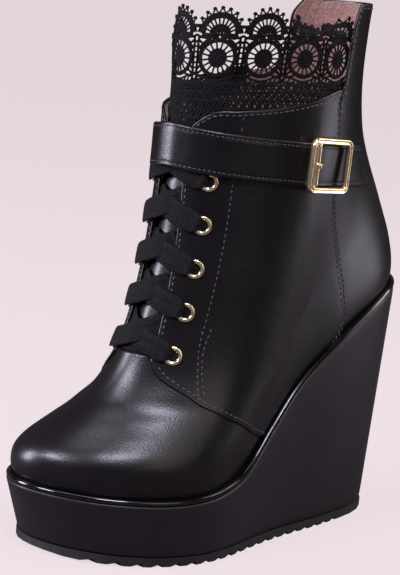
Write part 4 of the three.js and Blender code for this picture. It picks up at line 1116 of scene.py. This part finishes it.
tooth = shape_object("zip_tooth", [sweep(
    np.stack([np.zeros(5), np.array([-0.5, -0.3, 0, 0.3, 0.5]) * 2.9, np.zeros(5)], -1), [0, 0, 1],
    round_profile(1.1, 1.3, 8, 3), widths=[0.7, 1, 0.85, 1, 0.6])])
tooth_heights = np.arange(ZIP_BOTTOM + 1.5, ZIP_TOP - 1, TOOTH_SPACING / 2)
tooth_side = np.where(np.arange(len(tooth_heights)) % 2 == 0, 1.0, -1.0)
tooth_level = level_at(180, tooth_heights)
tooth_step = np.linalg.norm(skin_point(tooth_level, 180.0) - skin_point(tooth_level, 175.0), axis=-1) / 5
tooth_turn = 180 + tooth_side * 0.75 / tooth_step
tooth_points = skin(tooth_level, tooth_turn, np.full(len(tooth_heights), TAPE_TOP + 0.75))
above, below = np.minimum(tooth_level + 0.05, TOP_LEVEL), tooth_level - 0.05
tooth_run = unit(skin_point(above, 180.0) - skin_point(below, 180.0))
tooth_places = points_object("tooth_places", tooth_points, skin_normal(tooth_level, tooth_turn), tooth_run)
teeth = grow("zip_teeth", tooth_places, set_tree, {"Shape": tooth, "Material": brass})
bpy.data.objects.remove(tooth)
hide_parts("zip_chain")
assign("zip_slider", brass)
assign("zip_pull_link", brass)

PULL_WIDTH = 8
pull_low, pull_high = (np.array(corner) * 1000 - SHIFT * 1000 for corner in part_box("zip_pull_tab"))
pull_y = (pull_low[1] + pull_high[1]) / 2
low_z, top_z = pull_low[2], pull_high[2]
pull_z = np.concatenate([[top_z - v for v in (0, 0.3, 1, 2.5, 4)], np.linspace(top_z - 6, low_z + 3, 12),
                         [low_z + v for v in (1.6, 0.7, 0.2, 0)]])
pull_taper = np.interp(pull_z, [low_z, low_z + 0.7, low_z + 3, top_z - 5, top_z - 1, top_z],
                       [0.78, 0.93, 1.0, 0.84, 0.66, 0.55])
pull_path = np.stack([0 * pull_z, pull_y + 0 * pull_z, pull_z], -1)
points, faces = sweep(pull_path, [0, 1, 0], round_profile(PULL_WIDTH, 1.8, 24, 5), widths=pull_taper)
pull = build("leather_pull", points, faces, calf, body="pull")
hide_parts("zip_pull_tab")
pull_line = np.stack([np.interp(pull_z[4:-2], pull_z[::-1], pull_taper[::-1]) * (PULL_WIDTH / 2 - 1.1),
                      np.full(len(pull_z) - 6, pull_y + 0.9), pull_z[4:-2]], -1)
sew("pull_stitching", [pull_line, pull_line * [-1, 1, 1]], 2.0, 1.5, 0.4, body="pull")

# Crochet cuff: a strip of black cotton lace sewn inside the collar. Its top runs in scallops edged with
# knotted picots, under each a fan and a wheel flower, and below them a close mesh. It stands tall in front
# and on the outer side; on the inner side, where the photograph shows none, it is taken as sunk low.
CUFF_REFERENCE = 222
SCALLOP_EDGES = [-92, -74, -55, -35, -15, 5, 25.2, 46.6, 69.5, 92]
SCALLOP_HALF = 10
CUFF_FRONT_HEIGHT = 239
CUFF_BACK_HEIGHT = 241.5
CUFF_LIFT = -WALL - GAP - 0.5
YARN_SIDES = 6

cotton, tree, shader, where = principled("black_cotton_yarn", {"Roughness": 0.9, "Specular IOR Level": 0.2})
ply = noise(tree, where, 0.8, 3.0)
tint(tree, shader, ply, "#060506", "#171517")
bump(tree, shader, ply, 0.3, 0.8)

arc_turns = np.arange(0, 141.0)
arc_points = on_shaft(arc_turns, np.full(141, CUFF_REFERENCE), np.full(141, -float(WALL)))
arc_lengths = run_length(arc_points)
flat_edges = (np.arange(len(SCALLOP_EDGES)) - 4.5) * 2 * SCALLOP_HALF


def cuff_turn(x):
    return np.sign(x) * np.interp(np.abs(x), arc_lengths, arc_turns)


def cuff_foot(x):
    turn = np.abs(cuff_turn(x))
    y = on_shaft(turn, 204 + 0 * turn, 0 * turn)[..., 1]
    side = 199 + 9 * np.maximum(0, (y + 14) / 39) ** 1.5
    return lerp(192, side, smooth(turn, 12, 34))


def cuff_place(flat):
    """Arc length, height and lift of points of the flat design, given across and above the valleys."""
    x = np.interp(flat[:, 0], flat_edges, SCALLOP_EDGES)
    foot = cuff_foot(x)
    valley = lerp(CUFF_FRONT_HEIGHT, CUFF_BACK_HEIGHT, smooth(x, -10, 60))
    sunk = 1 - 0.74 * smooth(-x, 6, 38)
    curl = smooth(x, 48, 60) * (1 - smooth(x, 80, 90)) * np.maximum(flat[:, 1] + 1.5, 0)
    z = foot + (valley + flat[:, 1] - 0.62 * curl - foot) * sunk
    lean = 2.2 * smooth(z, 208, 244) * (1 - smooth(np.abs(x), 25, 60))
    return x, np.maximum(z, foot), CUFF_LIFT - 0.75 * curl + lean


yarns = []  # each is (flat points, width, thickness, closed)


def yarn(points, width, thickness=None, closed=False):
    yarns.append((np.asarray(points, float), width, thickness or min(width, 0.9), closed))


def oval(x, z, rx, rz, angle):
    """Point on an oval about x, z at an angle from its top."""
    return [x + rx * math.sin(angle), z + rz * math.cos(angle)]


def arc_line(x, z, rx, rz, start, end, count):
    return [oval(x, z, rx, rz, a) for a in np.radians(np.linspace(start, end, count))]


def ring(x, z, rx, rz, width, count=24):
    yarn(arc_line(x, z, rx, rz, 0, 360, count + 1)[:-1], width, 0.8, closed=True)


# Yarns that fill a corner, on each side of its middle: from x, z to x, z, and the width
CORNER_YARNS = [
    (0.5, -1.8, 1.6, 1.6, 1.1), (1.2, -5.4, 3.8, -7.6, 1.1), (1.2, -3.8, 4.4, -4.4, 1.1),
    (0.9, -6.2, 1.0, -19.8, 1.15), (0.6, -7.0, 2.6, -10.0, 1.1), (0.6, -19.0, 2.8, -16.2, 1.1),
    (1.2, -20.4, 3.9, -18.2, 1.1), (1.2, -21.6, 5.2, -20.6, 1.1)]
WHEEL_Z = -13
picots = []
for index in range(len(SCALLOP_EDGES) - 1):
    middle = (flat_edges[index] + flat_edges[index + 1]) / 2
    low_side = middle < -40
    # solid arc of the scallop, three close rows of chain
    for inset in (0.0, 0.85, 1.6):
        yarn(arc_line(middle, -1.2, 8.3 - inset, 8.0 - inset, -97, 97, 30), 1.2)
    # picots, knots on a zigzag of chain outside the arc
    angles = np.radians(np.linspace(-80, 80, 9))
    tips = [oval(middle, -0.8, 9.7, 10.1, angle) for angle in angles]
    picots += tips
    for k in range(8):
        foot = oval(middle, -1.1, 8.3, 8.1, (angles[k] + angles[k + 1]) / 2)
        for tip in (tips[k], tips[k + 1]):
            yarn([foot, tip], 0.75)
    if low_side:
        for drop in (1.5, 3.5, 5.5, 8, 12, 17, 22):
            yarn([[middle - 10, -drop], [middle + 10, -drop]], 1.1)
        for x in np.linspace(-9.5, 9.5, 12):
            yarn([[middle + x, 2.0], [middle + x, -26]], 0.9)
        continue
    # the fan, spokes from a petal up to the solid arc
    for angle in np.radians(np.linspace(-80, 80, 10)):
        yarn([oval(middle, -2.0, 4.0, 3.7, angle), oval(middle, -1.2, 6.8, 6.4, angle)], 0.85)
    for inset in (0, 1.0, 2.0):
        yarn(arc_line(middle, -2.2, 4.1 - inset, 3.8 - inset, -110, 110, 16), 1.2)
    ring(middle, -2.0, 0.8, 0.7, 1.2, 12)
    for z, x in ((-2.7, 7.6), (-3.9, 8.6)):
        yarn([[middle - x, z], [middle - 0.6, z]], 1.4)
        yarn([[middle + 0.6, z], [middle + x, z]], 1.4)
    for start in (24, -66):
        yarn(arc_line(middle, WHEEL_Z, 9.2, 9.4, start, start + 42, 10), 1.1)
    # the wheel flower, a solid hub with spokes and a solid rim
    for radius in (0.6, 1.6, 2.6, 3.6):
        ring(middle, WHEEL_Z, radius, radius * 1.05, 1.25)
    for radius in (7.3, 8.2):
        ring(middle, WHEEL_Z, radius, radius * 1.02, 1.15, 32)
    for k in range(16):
        a = 2 * math.pi * (k + 0.3 * (index % 3)) / 16
        yarn([oval(middle, WHEEL_Z, 3.8, 3.9, a), oval(middle, WHEEL_Z, 7.2, 7.4, a)], 0.85)
    # knots and crossed bars that fill the corners between two wheels
    for x in (middle - SCALLOP_HALF, middle + SCALLOP_HALF):
        if abs(x) > flat_edges[-1] - 1 or x < -45:
            continue
        ring(x, -4.6, 1.1, 1.5, 1.2, 12)
        ring(x, -21.4, 1.1, 1.5, 1.2, 12)
        for sign in (-1, 1):
            for x0, z0, x1, z1, width in CORNER_YARNS:
                yarn([[x + sign * x0, z0], [x + sign * x1, z1]], width)
        for z in (-8.4, -10.8, -13.2, -15.6, -17.8):
            yarn([[x - 1.6, z], [x + 1.6, z + 0.4]], 0.9)
    # a ladder of short bars that follows the wheel below it
    for row, width in ((-23.2, 1.0), (-26.0, 1.1)):
        bend = np.linspace(-10, 10, 21)
        yarn(np.stack([middle + bend, row + 2.6 * (1 - np.cos(bend * math.pi / 10)) / 2], -1), width)
    for x in np.linspace(-9, 9, 9):
        rise = 2.6 * (1 - math.cos(x * math.pi / 10)) / 2
        yarn([[middle + x - 0.5, -26.0 + rise], [middle + x + 0.5, -23.2 + rise]], 0.95)

# the close mesh towards the collar, with three bands along it and a bound end
along = np.linspace(flat_edges[0] + 0.5, flat_edges[-1] - 0.5, 240)
for lean in (1, -1):
    for start in np.arange(flat_edges[0] - 30, flat_edges[-1] + 30, 1.75):
        z = np.linspace(-50, -23.5, 15)
        x = start + lean * (z + 50) * 0.62 + 0.3 * np.sin(start * 1.7 + 0.2 * z)
        keep = np.abs(x) < flat_edges[-1] - 0.3
        if keep.sum() > 2:
            yarn(np.stack([x, z], -1)[keep], 1.0)
for row in (-28.5, -32, -36, -40, -44.5):
    yarn(np.stack([along, np.full(240, row)], -1), 1.1)
for x in (flat_edges[0] + 0.4, flat_edges[-1] - 0.4):
    yarn(np.stack([np.full(20, x), np.linspace(-50, 0, 20)], -1), 1.4)

# each straight yarn runs a little past its ends, into its neighbours
past_ends = np.linspace(-0.03, 1.03, 4)[:, None]
rows = [points if len(points) > 2 else points[0] + (points[1] - points[0]) * past_ends
        for points, _, _, _ in yarns]
flat_points = np.concatenate(rows)
arc_x, height, lift = cuff_place(flat_points)
flat_turns = cuff_turn(arc_x)
flat_levels = level_at(flat_turns, height)
waver = 0.12 * np.sin(flat_points[:, 0] * 1.9) * np.sin(flat_points[:, 1] * 2.3)
bent_points = skin(flat_levels, flat_turns, lift + waver)
bent_normals = skin_normal(flat_levels, flat_turns)
ends = np.cumsum([len(row) for row in rows])[:-1]
bent = zip(np.split(bent_points, ends), np.split(bent_normals, ends), yarns)
parts = [sweep(path, up, round_profile(width, thickness, YARN_SIDES), closed=closed)
         for path, up, (_, width, thickness, closed) in bent]
cuff = build("crochet_cuff", *gather(parts), cotton, slot="crochet")
arc_x, height, picot_lift = cuff_place(np.array(picots))
picot_turns = cuff_turn(arc_x)
picot_levels = level_at(picot_turns, height)
knot = shape_object("picot_knot", [sweep(
    np.array([[-0.8, 0, 0], [-0.55, 0, 0], [0, 0, 0], [0.55, 0, 0], [0.8, 0, 0]]), [0, 0, 1],
    round_profile(2.0, 1.4, 8), widths=[0.35, 0.8, 1, 0.8, 0.35])])
picot_places = points_object("picot_places", skin(picot_levels, picot_turns, picot_lift),
                             skin_normal(picot_levels, picot_turns), [0, 0, 1])
knots = grow("picot_knots", picot_places, set_tree, {"Shape": knot, "Material": cotton})
bpy.data.objects.remove(knot)
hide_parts("lace_cuff")
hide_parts("lace_cuff")
